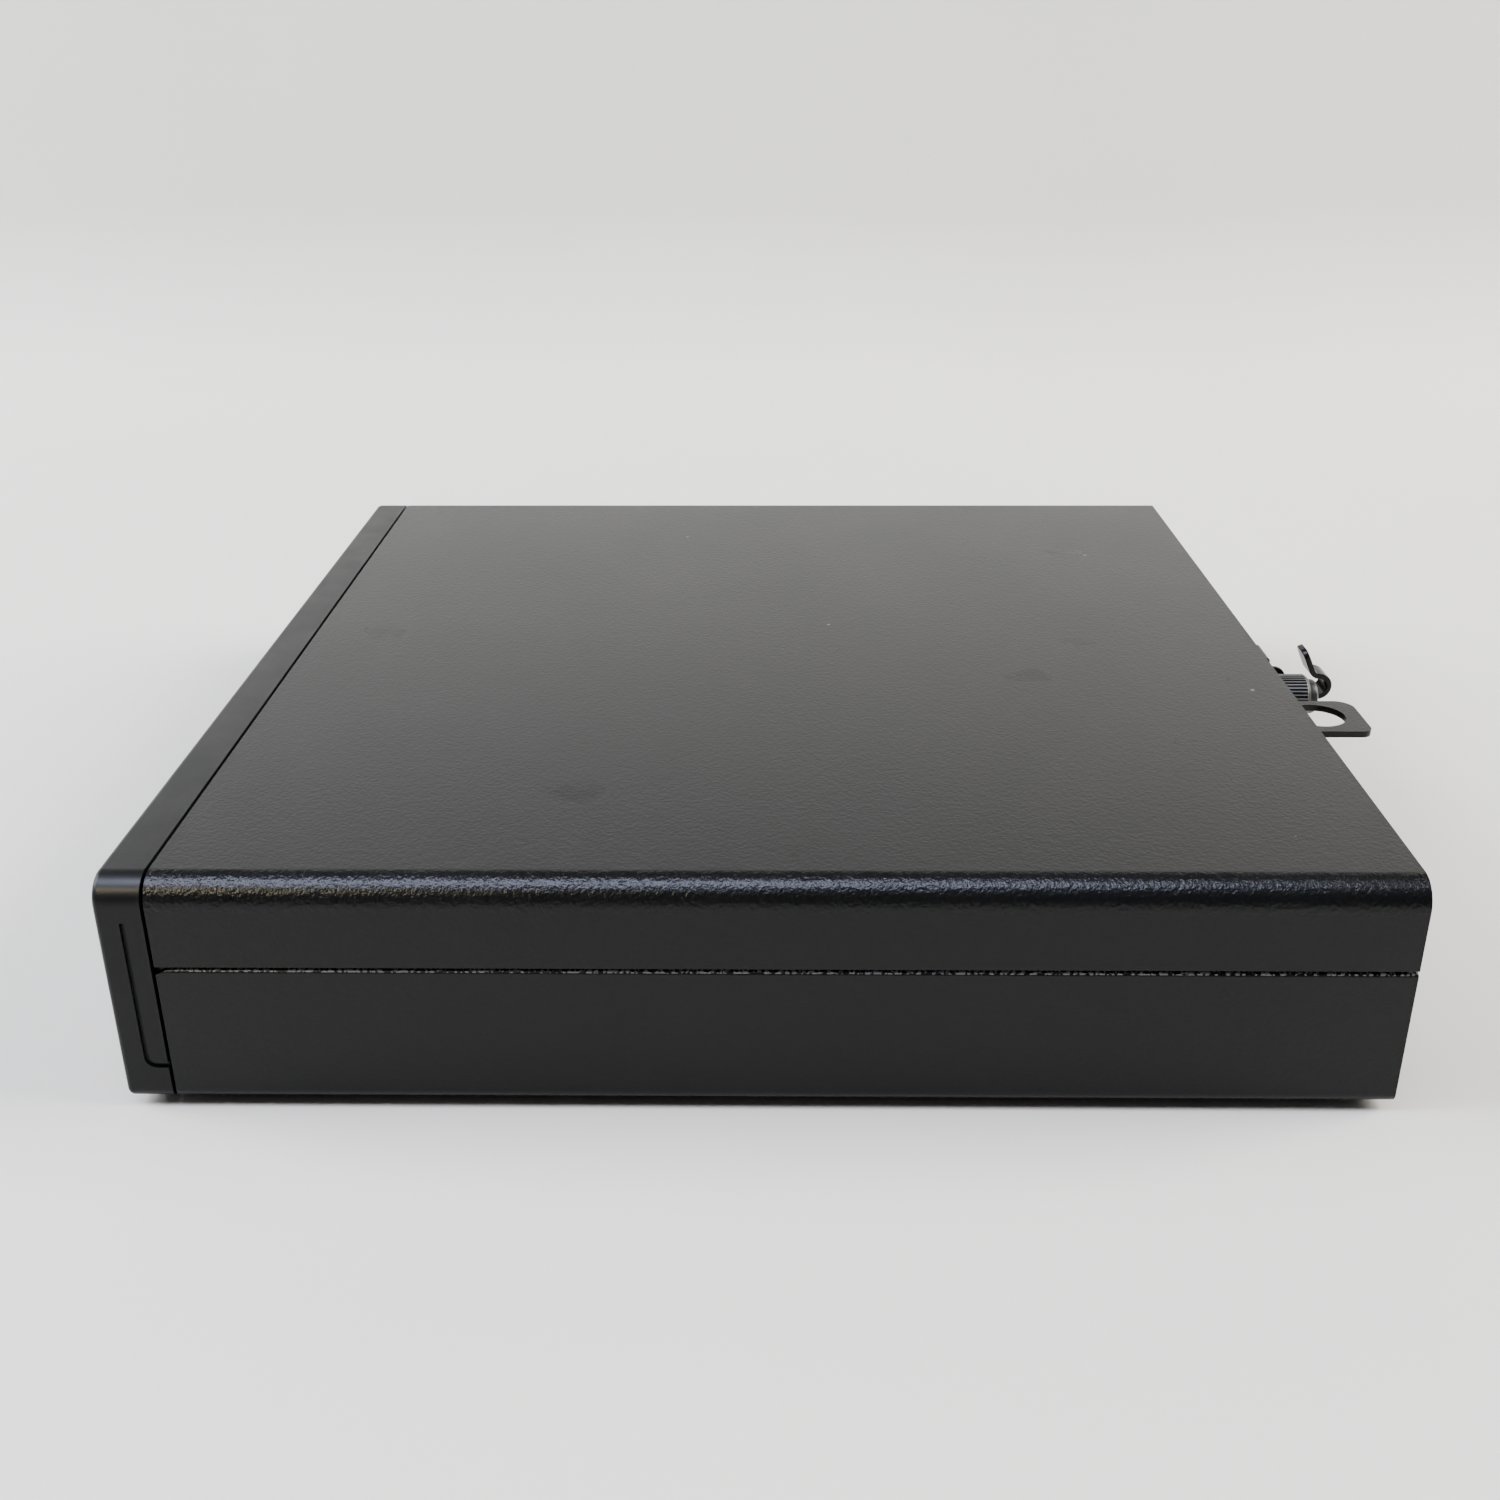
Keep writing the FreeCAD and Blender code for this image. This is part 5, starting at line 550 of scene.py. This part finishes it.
def slot_materials():
    """One material for each slot of the frame."""
    tint = colours()
    return {
        # Powder coat: satin black, grainy on the bends.
        "powder_coated_steel": powder_coat("powder_coat"),
        # Zinc-plated sheet: cool grey, rolled lines, a soft shine.
        "bare_steel": brushed_metal("zinc_plated_steel", "#b4b8ba", 0.34, (0.12, 1, 1)),
        # Spark-eroded ABS: satin, with a texture finer than the coat's.
        "moulded_black": plain_finish("textured_abs", tint.moulding, 0.36, 0, 0.35 * MM, 0.02 * MM),
        # Black oxide: oily dark grey, worn on its ridges.
        "black_oxide_screw": black_oxide(),
        # Dipped enamel on spring steel: glossy, with a long grey sheen.
        "spring_steel": plain_finish("enamelled_spring_steel", tint.spring, 0.24, 0, 0.9 * MM, 0.01 * MM),
        # Moulded rubber: dull and dusty.
        "rubber": plain_finish("moulded_rubber", tint.rubber, 0.85, 0, 0.4 * MM, 0.03 * MM),
        # Solder mask: glossy green over copper tracks.
        "circuit_board": circuit_board(),
        # Nickel on small turned screws: bright and warm.
        "plated_screw": plain_finish("nickel_plate", linear("#c9c7c0"), 0.22, 1, 0.3 * MM, 0.006 * MM),
        # Glass-filled nylon: dull black with a faint fibre grain.
        "connector_plastic": plain_finish("glass_filled_nylon", linear("#1d1d1e"), 0.55, 0, 0.25 * MM, 0.02 * MM),
        # Stamped stainless spring arms: bright, lined along their length.
        "latch_metal": brushed_metal("stamped_stainless", "#c4c4c2", 0.28, (1, 0.1, 1)),
        # Nickel on copper: warm white, lightly brushed.
        "processor_lid": brushed_metal("nickelled_copper", "#c2c1bc", 0.3, (1, 0.15, 1)),
        # Clear anodised aluminium: pale, with extrusion lines along the fins.
        "extruded_aluminium": brushed_metal("clear_anodised_aluminium", "#c8cacb", 0.36, (1, 0.06, 1)),
        # PBT of fans and loudspeakers: satin black.
        "fan_plastic": plain_finish("satin_pbt", linear("#17181a"), 0.38, 0, 0.3 * MM, 0.012 * MM),
        # Die-cast aluminium: pale grey with a fine blasted skin.
        "drive_case": plain_finish("blasted_aluminium", linear("#a9acae"), 0.42, 1, 0.25 * MM, 0.02 * MM, 0.03),
        # Polyimide film: smooth and amber.
        "ribbon_film": plain_finish("polyimide_film", linear("#b06a1f"), 0.3, 0, 0.8 * MM, 0.006 * MM),
        # Tin-plated stamped shells: bright, lined by the rollers.
        "connector_shell": brushed_metal("tin_plated_steel", "#bdbdbb", 0.27, (0.15, 1, 1)),
        # Moulded epoxy: matt, with a fine sanded skin.
        "chip_plastic": plain_finish("moulded_epoxy", linear("#232324"), 0.6, 0, 0.18 * MM, 0.012 * MM),
        # Acrylic: clear, with bright edges.
        "clear_plastic": clear_acrylic(),
        # Extruded jacket of the thin leads: slick and dark.
        "lead_jacket": plain_finish("extruded_jacket", linear("#202124"), 0.4, 0, 0.5 * MM, 0.008 * MM),
    }


MATERIALS = {}


def material_of(node):
    """The material of a node, or else of its slot, made the first time it is asked for."""
    if not MATERIALS:
        MATERIALS.update(slot_materials())
        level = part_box("memory_module_a")[0].z + 1.21 * MM
        module = circuit_board("solder_mask_with_memory_chips", level)
        MATERIALS.update(memory_module_a=module, memory_module_b=module)
        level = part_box("storage_card")[0].z + 0.81 * MM
        MATERIALS["storage_card"] = circuit_board("solder_mask_with_storage_chips", level)
        MATERIALS["radio_card"] = circuit_board("solder_mask_with_shield_can", level, "#b5b6b4", True)
    return MATERIALS.get(node) or MATERIALS[NODE_SLOTS[node]]


# The case.

class ModelCover(bpy.types.Operator):
    """Model the sliding cover: top, skirts, rear tab and front tongues from one sheet."""
    bl_idname = "computer.model_cover"
    bl_label = "Cover"

    def execute(self, context):
        size = sizes()
        piece = box("sliding_cover", (-SIDE, FRONT, TOP - size.skirt), (SIDE, REAR, TOP))
        remove_faces(piece, lambda f: abs(f.normal.y) > 0.9 or f.normal.z < -0.9)
        round_edges(piece, size.cover_bend, 20, lambda e: along(e, 1) and near(middle(e).z, TOP))
        for x in (-size.tab_left, size.tab_right):
            split_at(piece, (x, 0, 0), (1, 0, 0))
        reach = COVER_HIGH.y - REAR
        extrude(piece, "EDGE", lambda e: near(middle(e).y, REAR) and near(middle(e).z, TOP)
                and -size.tab_left < middle(e).x < size.tab_right,
                (0, reach, 0), (0, 0, COVER_LOW.z - TOP))
        round_edges(piece, size.tab_bend, 8, lambda e: near(middle(e).y, COVER_HIGH.y) and near(middle(e).z, TOP))
        modify(piece, "SOLIDIFY", thickness=size.sheet, offset=-1, use_even_offset=True)
        past = REAR + 2 * reach
        hole = rod("screw_hole", size.screw_hole, (0, REAR, SCREW_LEVEL), (0, past, SCREW_LEVEL))
        relief = box("relief", (-size.tab_left - MM, REAR, TOP - size.tab_relief), (size.tab_neck, past, TOP + MM))
        carve(piece, [hole, relief])
        level = TOP - size.tongue_drop - size.sheet
        back = FRONT + 6 * MM
        for side in (-1, 1):
            left = side * size.tongue_offset - size.tongue_width / 2
            strip = box("tongue", (left, COVER_LOW.y, level), (left + size.tongue_width, back, level + size.sheet))
            extrude(strip, "FACE", lambda f: f.normal.y > 0.9, (0, size.sheet, 0))
            extrude(strip, "FACE", lambda f: f.normal.z > 0.9 and middle(f).y > back,
                    (0, 0, TOP - size.sheet / 2 - level - size.sheet))
            carve(piece, [strip], "UNION")
        ease(piece, size.edge, 2)
        finish(piece, "top_cover", material_of("top_cover"))
        return {"FINISHED"}


class ModelPan(bpy.types.Operator):
    """Model the pan: floor, walls and folded flanges, with its holes and air slots."""
    bl_idname = "computer.model_pan"
    bl_label = "Pan"

    def execute(self, context):
        size = sizes()
        shoulder = TOP - size.skirt - size.split
        inset = size.sheet + size.slide_gap
        piece = box("folded_pan", (-SIDE, FRONT, FLOOR), (SIDE, REAR, shoulder))
        remove_faces(piece, lambda f: abs(f.normal.y) > 0.9 or f.normal.z > 0.9)
        for side in (-1, 1):
            extrude(piece, "EDGE", lambda e: along(e, 1) and near(middle(e).z, shoulder)
                    and near(middle(e).x, side * SIDE),
                    (-side * inset, 0, 0), (0, 0, PAN_HIGH.z - shoulder))
        round_edges(piece, size.pan_bend, 8, lambda e: along(e, 1) and near(middle(e).z, FLOOR))
        round_edges(piece, size.fold, 6, lambda e: along(e, 1) and near(middle(e).z, shoulder)
                    and near(abs(middle(e).x), SIDE))
        modify(piece, "SOLIDIFY", thickness=size.sheet, offset=-1, use_even_offset=True)
        carve(piece, self.floor_holes(size))
        carve(piece, [self.notch(side, shoulder, inset) for side in (-1, 1)])
        ease(piece, size.edge, 2)
        finish(piece, "chassis_pan", material_of("chassis_pan"))
        return {"FINISHED"}

    def floor_holes(self, size):
        """Tools for the four bolt holes and the row of air slots under the heat sink."""
        under, over = FLOOR - MM, FLOOR + 2 * MM
        tools = []
        half = size.bolt_pitch / 2
        centre = (FRONT - 7 * MM + REAR) / 2
        for x in (-half, half):
            for y in (centre - half, centre + half):
                tools.append(rod("bolt_hole", size.bolt_hole, (x, y, under), (x, y, over), 32))
        low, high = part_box("heat_sink")
        slot_long, slot_wide, pitch, count = 26 * MM, 3 * MM, 6.5 * MM, 5
        first = (low.x + high.x) / 2 - (count - 1) / 2 * pitch
        y = (low.y + high.y) / 2 - 8 * MM
        slot = box("air_slot", (first - slot_wide / 2, y - slot_long / 2, under),
                   (first + slot_wide / 2, y + slot_long / 2, over))
        round_edges(slot, slot_wide / 2 - 0.05 * MM, 6, lambda e: along(e, 2))
        tools.append(repeated(slot, count, (pitch, 0, 0)))
        return tools

    def notch(self, side, shoulder, inset):
        """A tool for the sloping notch at the front end of one upper fold."""
        deep, long = 0.8 * MM, 1.9 * MM
        edges = sorted((side * (SIDE - inset + 0.05 * MM), side * (SIDE + MM)))
        wedge = box("corner_notch", (edges[0], FRONT - 0.01 * MM, shoulder - deep),
                    (edges[1], FRONT + long, shoulder + 0.2 * MM))
        choose(wedge, "EDGE", lambda e: along(e, 0) and middle(e).y > FRONT + MM and middle(e).z < shoulder)
        bpy.ops.transform.translate(value=(0, 0, deep))
        bpy.ops.object.mode_set(mode="OBJECT")
        return wedge


class ModelBezel(bpy.types.Operator):
    """Model the moulded bezel with its air slots, connector openings and side lines."""
    bl_idname = "computer.model_bezel"
    bl_label = "Bezel"

    def execute(self, context):
        size = sizes()
        face = BEZEL_LOW.y
        rear = FRONT - size.bezel_gap
        piece = box("moulded_bezel", (-SIDE, face, FLOOR), (SIDE, rear, TOP))
        round_edges(piece, size.cover_bend, 18, lambda e: along(e, 1) and near(middle(e).z, TOP))
        round_edges(piece, size.pan_bend, 8, lambda e: along(e, 1) and near(middle(e).z, FLOOR))
        round_edges(piece, size.bezel_edge, 5, lambda e: near(e.verts[0].co.y, face) and near(e.verts[1].co.y, face))
        wall = size.bezel_wall
        hollow = box("hollow", (-SIDE + wall, face + size.bezel_face, FLOOR + wall),
                     (SIDE - wall, rear + MM, TOP - wall))
        round_edges(hollow, size.cover_bend - wall, 1, lambda e: along(e, 1) and near(middle(e).z, TOP - wall))
        carve(piece, [hollow])
        margin, slot_low, slot_high = 7.5 * MM, FLOOR + 19.4 * MM, FLOOR + 29.6 * MM
        count = math.floor(2 * (SIDE - margin) / size.slot_pitch + 0.01) + 1
        first = -SIDE + margin
        slot = box("air_slot", (first - size.slot_width / 2, face - MM, slot_low),
                   (first + size.slot_width / 2, face + size.bezel_face + MM, slot_high))
        round_edges(slot, 0.6 * MM, 4, lambda e: along(e, 1))
        carve(piece, [repeated(slot, count, (size.slot_pitch, 0, 0))])
        carve(piece, self.openings(face, size))
        carve(piece, [self.line(side, rear, size) for side in (-1, 1)])
        hook_offset, hook_wide, hook_thick, sunk = 66 * MM, 8 * MM, 1.4 * MM, 0.2 * MM
        for side in (-1, 1):
            left = side * hook_offset - hook_wide / 2
            level = FLOOR + wall
            clip = box("snap_hook", (left, face + size.bezel_face - sunk, level - sunk),
                       (left + hook_wide, BEZEL_HIGH.y, level + hook_thick))
            carve(piece, [clip], "UNION")
        ease(piece, 0.12 * MM, 2)
        finish(piece, "front_bezel", material_of("front_bezel"))
        return {"FINISHED"}

    def openings(self, face, size):
        """Tools for the sockets, jacks, button and light."""
        gap, width, jack, light = 0.2 * MM, 13.4 * MM, 3.1 * MM, 1.1 * MM
        back = face + size.bezel_face + MM
        tools = []
        low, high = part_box("front_usb_sockets")
        for x in (low.x, high.x - width):
            window = box("window", (x - gap, face - MM, low.z - gap), (x + width + gap, back, high.z + gap))
            round_edges(window, 0.5 * MM, 3, lambda e: along(e, 1))
            tools.append(window)
        low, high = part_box("small_usb_socket")
        window = box("window", (low.x - gap, face - MM, low.z - gap), (high.x + gap, back, high.z + gap))
        round_edges(window, 1.4 * MM, 6, lambda e: along(e, 1))
        tools.append(window)
        low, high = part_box("audio_jacks")
        level = (low.z + high.z) / 2
        half = (high.z - low.z) / 2
        for x in (low.x + half, high.x - half):
            tools.append(rod("jack_hole", jack, (x, face - MM, level), (x, back, level)))
        low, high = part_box("power_button")
        x, level = (low.x + high.x) / 2, (low.z + high.z) / 2
        tools.append(rod("button_hole", size.button + 0.3 * MM, (x, face - MM, level), (x, back, level), 64))
        low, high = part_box("light_guide")
        x = (low.x + high.x) / 2
        tools.append(rod("light_hole", light, (x, face - MM, level), (x, back, level), 32))
        return tools

    def line(self, side, rear, size):
        """A tool for the bent line in one side: down, round a corner and out at the rear edge."""
        width, depth = size.groove_width, size.groove_depth
        place = rear - 2.4 * MM
        high, low = TOP - 6.2 * MM, FLOOR + 5.2 * MM
        corner = 1.6 * MM
        edges = sorted((side * (SIDE - depth), side * (SIDE + MM)))
        tool = box("side_line", (edges[0], place - width, low + corner), (edges[1], place, high))
        choose(tool, "FACE", lambda f: f.normal.z < -0.9)
        bpy.ops.mesh.spin(steps=8, angle=math.radians(-90), center=(0, place - width + corner, low + corner),
                          axis=(1, 0, 0))
        bpy.ops.mesh.extrude_region_move(TRANSFORM_OT_translate={"value": (0, rear - place + width - corner + MM, 0)})
        bpy.ops.mesh.select_all(action="SELECT")
        bpy.ops.mesh.normals_make_consistent(inside=False)
        bpy.ops.object.mode_set(mode="OBJECT")
        return tool


class ModelRearHardware(bpy.types.Operator):
    """Model the thumbscrew, its washer, the padlock loop and the cord hook."""
    bl_idname = "computer.model_rear_hardware"
    bl_label = "Rear hardware"

    def execute(self, context):
        size = sizes()
        self.thumbscrew(size)
        low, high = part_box("screw_washer")
        ring = rod("captive_washer", (high.x - low.x) / 2, (0, low.y, SCREW_LEVEL), (0, high.y, SCREW_LEVEL), 64)
        hole = rod("hole", size.screw_hole, (0, low.y - MM, SCREW_LEVEL), (0, high.y + MM, SCREW_LEVEL), 48)
        carve(ring, [hole])
        ease(ring, 0.1 * MM, 2)
        finish(ring, "screw_washer", material_of("screw_washer"))
        self.loop(size)
        self.hook()
        return {"FINISHED"}

    def thumbscrew(self, size):
        """Knurled grip with a stepped end, plain neck and a short thread."""
        end = SCREW_HIGH.y - SCREW_LOW.y
        rear = REAR - SCREW_LOW.y
        grip, cap = size.grip, 3.1 * MM
        start, stop = rear + 2.7 * MM, rear + 10.6 * MM
        root, crest, neck, point = 1.3 * MM, 1.6 * MM, 1.42 * MM, 0.35 * MM
        pitch, turns = 0.7938 * MM, 5
        outline = [(0.9 * MM, 0.0), (root, point)]
        for number in range(turns):
            foot = point + number * pitch * 0.92
            outline += [(root, foot + 0.02 * MM), (crest, foot + pitch * 0.35),
                        (crest, foot + pitch * 0.45), (root, foot + pitch * 0.8)]
        outline += [(neck, 4.15 * MM), (neck, start), (grip - 0.35 * MM, start), (grip, start + 0.3 * MM),
                    (grip, start + 0.5 * MM), (grip, start + 0.62 * MM), (grip, stop - 0.8 * MM),
                    (grip, stop - 0.68 * MM), (grip - 0.15 * MM, stop - 0.4 * MM), (grip - 0.5 * MM, stop),
                    (cap, stop), (cap, end - 0.7 * MM), (cap - 0.2 * MM, end - 0.25 * MM), (cap - 0.7 * MM, end),
                    (cap - 1.2 * MM, end), (cap - 1.35 * MM, end - 0.12 * MM), (0.2 * MM, end - 0.12 * MM)]
        sides = size.ridges * 4
        place = (0, SCREW_LOW.y, SCREW_LEVEL)
        piece = turned("knurled_thumbscrew", outline, sides, place, (math.radians(-90), 0, 0))
        first, last = SCREW_LOW.y + start + 0.6 * MM, SCREW_LOW.y + stop - 0.78 * MM

        def in_groove(vertex):
            across, up = vertex.co.x, vertex.co.z - SCREW_LEVEL
            column = round(math.atan2(up, across) / (2 * math.pi) * sides)
            on_grip = math.hypot(across, up) > grip - 0.01 * MM
            return on_grip and first < vertex.co.y < last and column % 4 in (0, 1)

        choose(piece, "VERT", in_groove)
        scale = (grip - size.knurl) / grip
        bpy.ops.transform.resize(value=(scale, 1, scale), center_override=place)
        bpy.ops.object.mode_set(mode="OBJECT")
        ease(piece, 0, 1)
        finish(piece, "thumbscrew", material_of("thumbscrew"))

    def loop(self, size):
        """Flat steel loop with a shackle hole, bent down behind the panel."""
        low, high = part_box("padlock_loop")
        thick = 1.1 * MM
        piece = box("padlock_eye", (low.x, low.y, high.z - thick), high)
        extrude(piece, "FACE", lambda f: f.normal.y < -0.9, (0, -0.01 * MM, 0))
        for radius, steps, x in ((3.0 * MM, 12, low.x), (1.8 * MM, 10, high.x)):
            round_edges(piece, radius, steps,
                        lambda e: along(e, 2) and near(middle(e).y, high.y) and near(middle(e).x, x))
        leg = box("leg", (low.x, low.y, low.z), (high.x, low.y + thick, high.z - thick / 2))
        carve(piece, [leg], "UNION")
        centre = (low.x + 6.3 * MM, REAR + 7.6 * MM)
        carve(piece, [rod("shackle_hole", size.padlock_hole, (*centre, low.z), (*centre, high.z + MM), 96)])
        ease(piece, 0.2 * MM, 3)
        finish(piece, "padlock_loop", material_of("padlock_loop"))

    def hook(self):
        """Spring strip curled back over itself, with a lifted tongue and an ear at its root."""
        low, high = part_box("cord_hook")
        thick = 1.0 * MM
        curl, throat = 2.0 * MM, 1.5 * MM
        turn = math.radians(65)
        bend = high.y - 2.5 * MM
        strip = box("sprung_cord_hook", low, (high.x, bend, low.z + thick))
        choose(strip, "FACE", lambda f: f.normal.y > 0.9)
        level = low.z + thick / 2 + curl
        bpy.ops.mesh.spin(steps=24, angle=-math.pi, center=(0, bend, level), axis=(1, 0, 0))
        bpy.ops.mesh.spin(steps=12, angle=turn, center=(0, bend, level + curl + throat), axis=(1, 0, 0))
        tongue = 4.4 * MM
        step = (0, -math.cos(turn) * tongue, math.sin(turn) * tongue)
        bpy.ops.mesh.extrude_region_move(TRANSFORM_OT_translate={"value": step})
        bpy.ops.mesh.select_all(action="SELECT")
        bpy.ops.mesh.normals_make_consistent(inside=False)
        bpy.ops.object.mode_set(mode="OBJECT")
        tip = max(v.co.z for v in strip.data.vertices)
        round_edges(strip, 1.7 * MM, 8, lambda e: abs(e.verts[0].co.x - e.verts[1].co.x) < 1e-6
                    and middle(e).z > tip - 0.6 * MM and e.calc_length() < 1.2 * MM)
        ear_end, ear_top = REAR + 8.2 * MM, low.z + 6.3 * MM
        ear = box("ear", (high.x - thick, low.y, low.z + 0.2 * MM), (high.x, ear_end, ear_top))
        round_edges(ear, 2.2 * MM, 6, lambda e: along(e, 0) and near(middle(e).y, ear_end)
                    and near(middle(e).z, ear_top))
        carve(strip, [ear], "UNION")
        ease(strip, 0.22 * MM, 3)
        finish(strip, "cord_hook", material_of("cord_hook"))


class ModelFeet(bpy.types.Operator):
    """Model one rubber foot and copy it to the four corners."""
    bl_idname = "computer.model_feet"
    bl_label = "Feet"

    def execute(self, context):
        low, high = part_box("rubber_feet")
        radius = sizes().foot
        outline = [(radius - 0.5 * MM, 0.0), (radius - 0.12 * MM, 0.15 * MM), (radius, 0.5 * MM), (radius, high.z)]
        feet = []
        for x in (low.x + radius, high.x - radius):
            for y in (low.y + radius, high.y - radius):
                feet.append(turned("foot", outline, 64, (x, y, 0)))
        piece = merge(feet, "stick_on_feet")
        ease(piece, 0)
        finish(piece, "rubber_feet", material_of("rubber_feet"))
        return {"FINISHED"}


class ModelButton(bpy.types.Operator):
    """Model the power button with its dished face, collar and stem."""
    bl_idname = "computer.model_button"
    bl_label = "Power button"

    def execute(self, context):
        low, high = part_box("power_button")
        radius, stem = sizes().button, 1.6 * MM
        collar, front, back = (high.x - low.x) / 2, 2.5 * MM, 3.5 * MM
        long = high.y - low.y
        outline = [(0.4 * MM, 0.42 * MM), (1.6 * MM, 0.38 * MM), (2.8 * MM, 0.22 * MM), (3.7 * MM, 0.02 * MM),
                   (4.0 * MM, 0.0), (radius - 0.2 * MM, 0.06 * MM), (radius, 0.3 * MM), (radius, front),
                   (collar, front), (collar, back), (stem, back), (stem, long - 0.2 * MM),
                   (stem - 0.2 * MM, long)]
        place = ((low.x + high.x) / 2, low.y, (low.z + high.z) / 2)
        piece = turned("dished_button", outline, 72, place, (math.radians(-90), 0, 0))
        ease(piece, 0.08 * MM, 2)
        finish(piece, "power_button", material_of("power_button"))
        return {"FINISHED"}


class FinishFixedPieces(bpy.types.Operator):
    """Ease the edges of every piece whose shape the frame already gives, and give it its finish."""
    bl_idname = "computer.finish_fixed_pieces"
    bl_label = "Fixed pieces"

    def execute(self, context):
        for node in sorted(frame["nodes"]):
            if frame["nodes"][node].hide_render:
                continue
            width = 0 if node == "antenna_leads" else 0.1 * MM
            finish(eased_copy(node, width), node, material_of(node))
        return {"FINISHED"}


class BuildStage(bpy.types.Operator):
    """Set up the paper sweep, the lamps and the camera."""
    bl_idname = "computer.build_stage"
    bl_label = "Stage"

    def execute(self, context):
        self.sweep()
        self.lamps()
        self.camera()
        return {"FINISHED"}

    def sweep(self):
        """Paper that lies flat, turns up behind the object and ends at the wall's height."""
        fold, radius, wall, near_end, width = -0.4, 0.06, 0.45, 1.5, 5
        deselect()
        bpy.ops.mesh.primitive_plane_add(size=1, location=((near_end + fold) / 2, 0, 0))
        paper = bpy.context.object
        paper.scale = (near_end - fold, width, 1)
        settle(paper, "paper_sweep")
        choose(paper, "EDGE", lambda e: along(e, 1) and middle(e).x < 0)
        bpy.ops.mesh.spin(steps=12, angle=math.radians(-90), center=(fold, 0, radius), axis=(0, 1, 0))
        bpy.ops.mesh.extrude_region_move(TRANSFORM_OT_translate={"value": (0, 0, wall)})
        bpy.ops.mesh.select_all(action="SELECT")
        bpy.ops.mesh.normals_make_consistent(inside=False)
        bpy.ops.object.mode_set(mode="OBJECT")
        bpy.ops.object.shade_smooth_by_angle(angle=math.radians(40))
        paper.data.materials.append(seamless_paper())

    def lamp(self, name, place, target, wide, deep, power, tint, sheen_only=False):
        """One rectangular softbox; a sheen-only one shows in gloss but doesn't light the paper."""
        data = bpy.data.lights.new(name, "AREA")
        data.shape = "RECTANGLE"
        data.size, data.size_y = wide, deep
        data.energy = power
        data.color = linear(tint)[:3]
        lamp = bpy.data.objects.new(name, data)
        bpy.context.scene.collection.objects.link(lamp)
        lamp.location = place
        lamp.rotation_euler = (Vector(target) - Vector(place)).to_track_quat("-Z", "Y").to_euler()
        lamp.visible_diffuse = not sheen_only

    def lamps(self):
        """An overhead softbox, two broad side lamps, two lamps for the sheen of the bends and a dim room."""
        self.lamp("overhead", (0.26, -0.25, 0.85), (0.26, -0.25, 0), 0.32, 0.9, 6.5, "#eef1ff")
        self.lamp("overhead_sheen", (0.26, -0.2, 0.8), (0.26, -0.2, 0), 0.26, 0.84, 17.0, "#d2dcff", True)
        self.lamp("left", (-0.1, -1.5, 1.0), (-0.46, 0, 0.1), 1.0, 1.0, 62.0, "#fbfbff")
        self.lamp("right", (-0.1, 1.5, 1.0), (-0.46, 0, 0.1), 1.0, 1.0, 68.0, "#fffaf2")
        self.lamp("window", (1.0, -0.75, 1.0), (0.09, -0.05, 0.03), 0.09, 0.09, 14.0, "#fff0cc", True)
        world = bpy.data.worlds.new("dim_room")
        world.use_nodes = True
        background = world.node_tree.nodes["Background"]
        background.inputs["Color"].default_value = linear("#f0f0ee")
        background.inputs["Strength"].default_value = 0.05
        bpy.context.scene.world = world

    def camera(self):
        """A camera close to the right side, above the case."""
        place = (0.27356, -0.00675, 0.14022)
        yaw, pitch, roll = 0.014, 0.432, -0.004
        ahead = Vector((-math.cos(pitch) * math.cos(yaw), -math.cos(pitch) * math.sin(yaw), -math.sin(pitch)))
        level = Vector((-math.sin(yaw), math.cos(yaw), 0))
        rise = level.cross(ahead)
        right = math.cos(roll) * level + math.sin(roll) * rise
        up = -math.sin(roll) * level + math.cos(roll) * rise
        data = bpy.data.cameras.new("camera")
        data.sensor_width = 36
        data.lens = 39.27
        data.clip_start = 0.01
        camera = bpy.data.objects.new("camera", data)
        bpy.context.scene.collection.objects.link(camera)
        camera.matrix_world = Matrix.Translation(place) @ Matrix((right, up, -ahead)).transposed().to_4x4()
        bpy.context.scene.camera = camera


class COMPUTER_PT_model(bpy.types.Panel):
    """Sidebar panel with a button for each group of pieces."""
    bl_label = "Compact desktop computer"
    bl_idname = "COMPUTER_PT_model"
    bl_space_type = "VIEW_3D"
    bl_region_type = "UI"
    bl_category = "Computer"

    def draw(self, context):
        for settings in (context.scene.computer_sizes, context.scene.computer_colours):
            column = self.layout.column()
            for name in settings.bl_rna.properties.keys():
                if name not in ("rna_type", "name"):
                    column.prop(settings, name)
        for operator in OPERATORS:
            self.layout.operator(operator.bl_idname)


OPERATORS = (BuildStage, ModelCover, ModelPan, ModelBezel, ModelRearHardware, ModelFeet, ModelButton,
             FinishFixedPieces)
CLASSES = (ComputerSizes, ComputerColours, *OPERATORS, COMPUTER_PT_model)


def register():
    """Make the classes known and hang the settings on the scene."""
    for each in CLASSES:
        bpy.utils.register_class(each)
    bpy.types.Scene.computer_sizes = PointerProperty(type=ComputerSizes)
    bpy.types.Scene.computer_colours = PointerProperty(type=ComputerColours)


def unregister():
    """Take the settings and the classes away again."""
    del bpy.types.Scene.computer_colours
    del bpy.types.Scene.computer_sizes
    for each in reversed(CLASSES):
        bpy.utils.unregister_class(each)


def main():
    """Model everything in order."""
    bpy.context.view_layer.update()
    register()
    for operator in OPERATORS:
        group, name = operator.bl_idname.split(".")
        getattr(getattr(bpy.ops, group), name)()
    deselect()


if __name__ == "__main__":
    main()
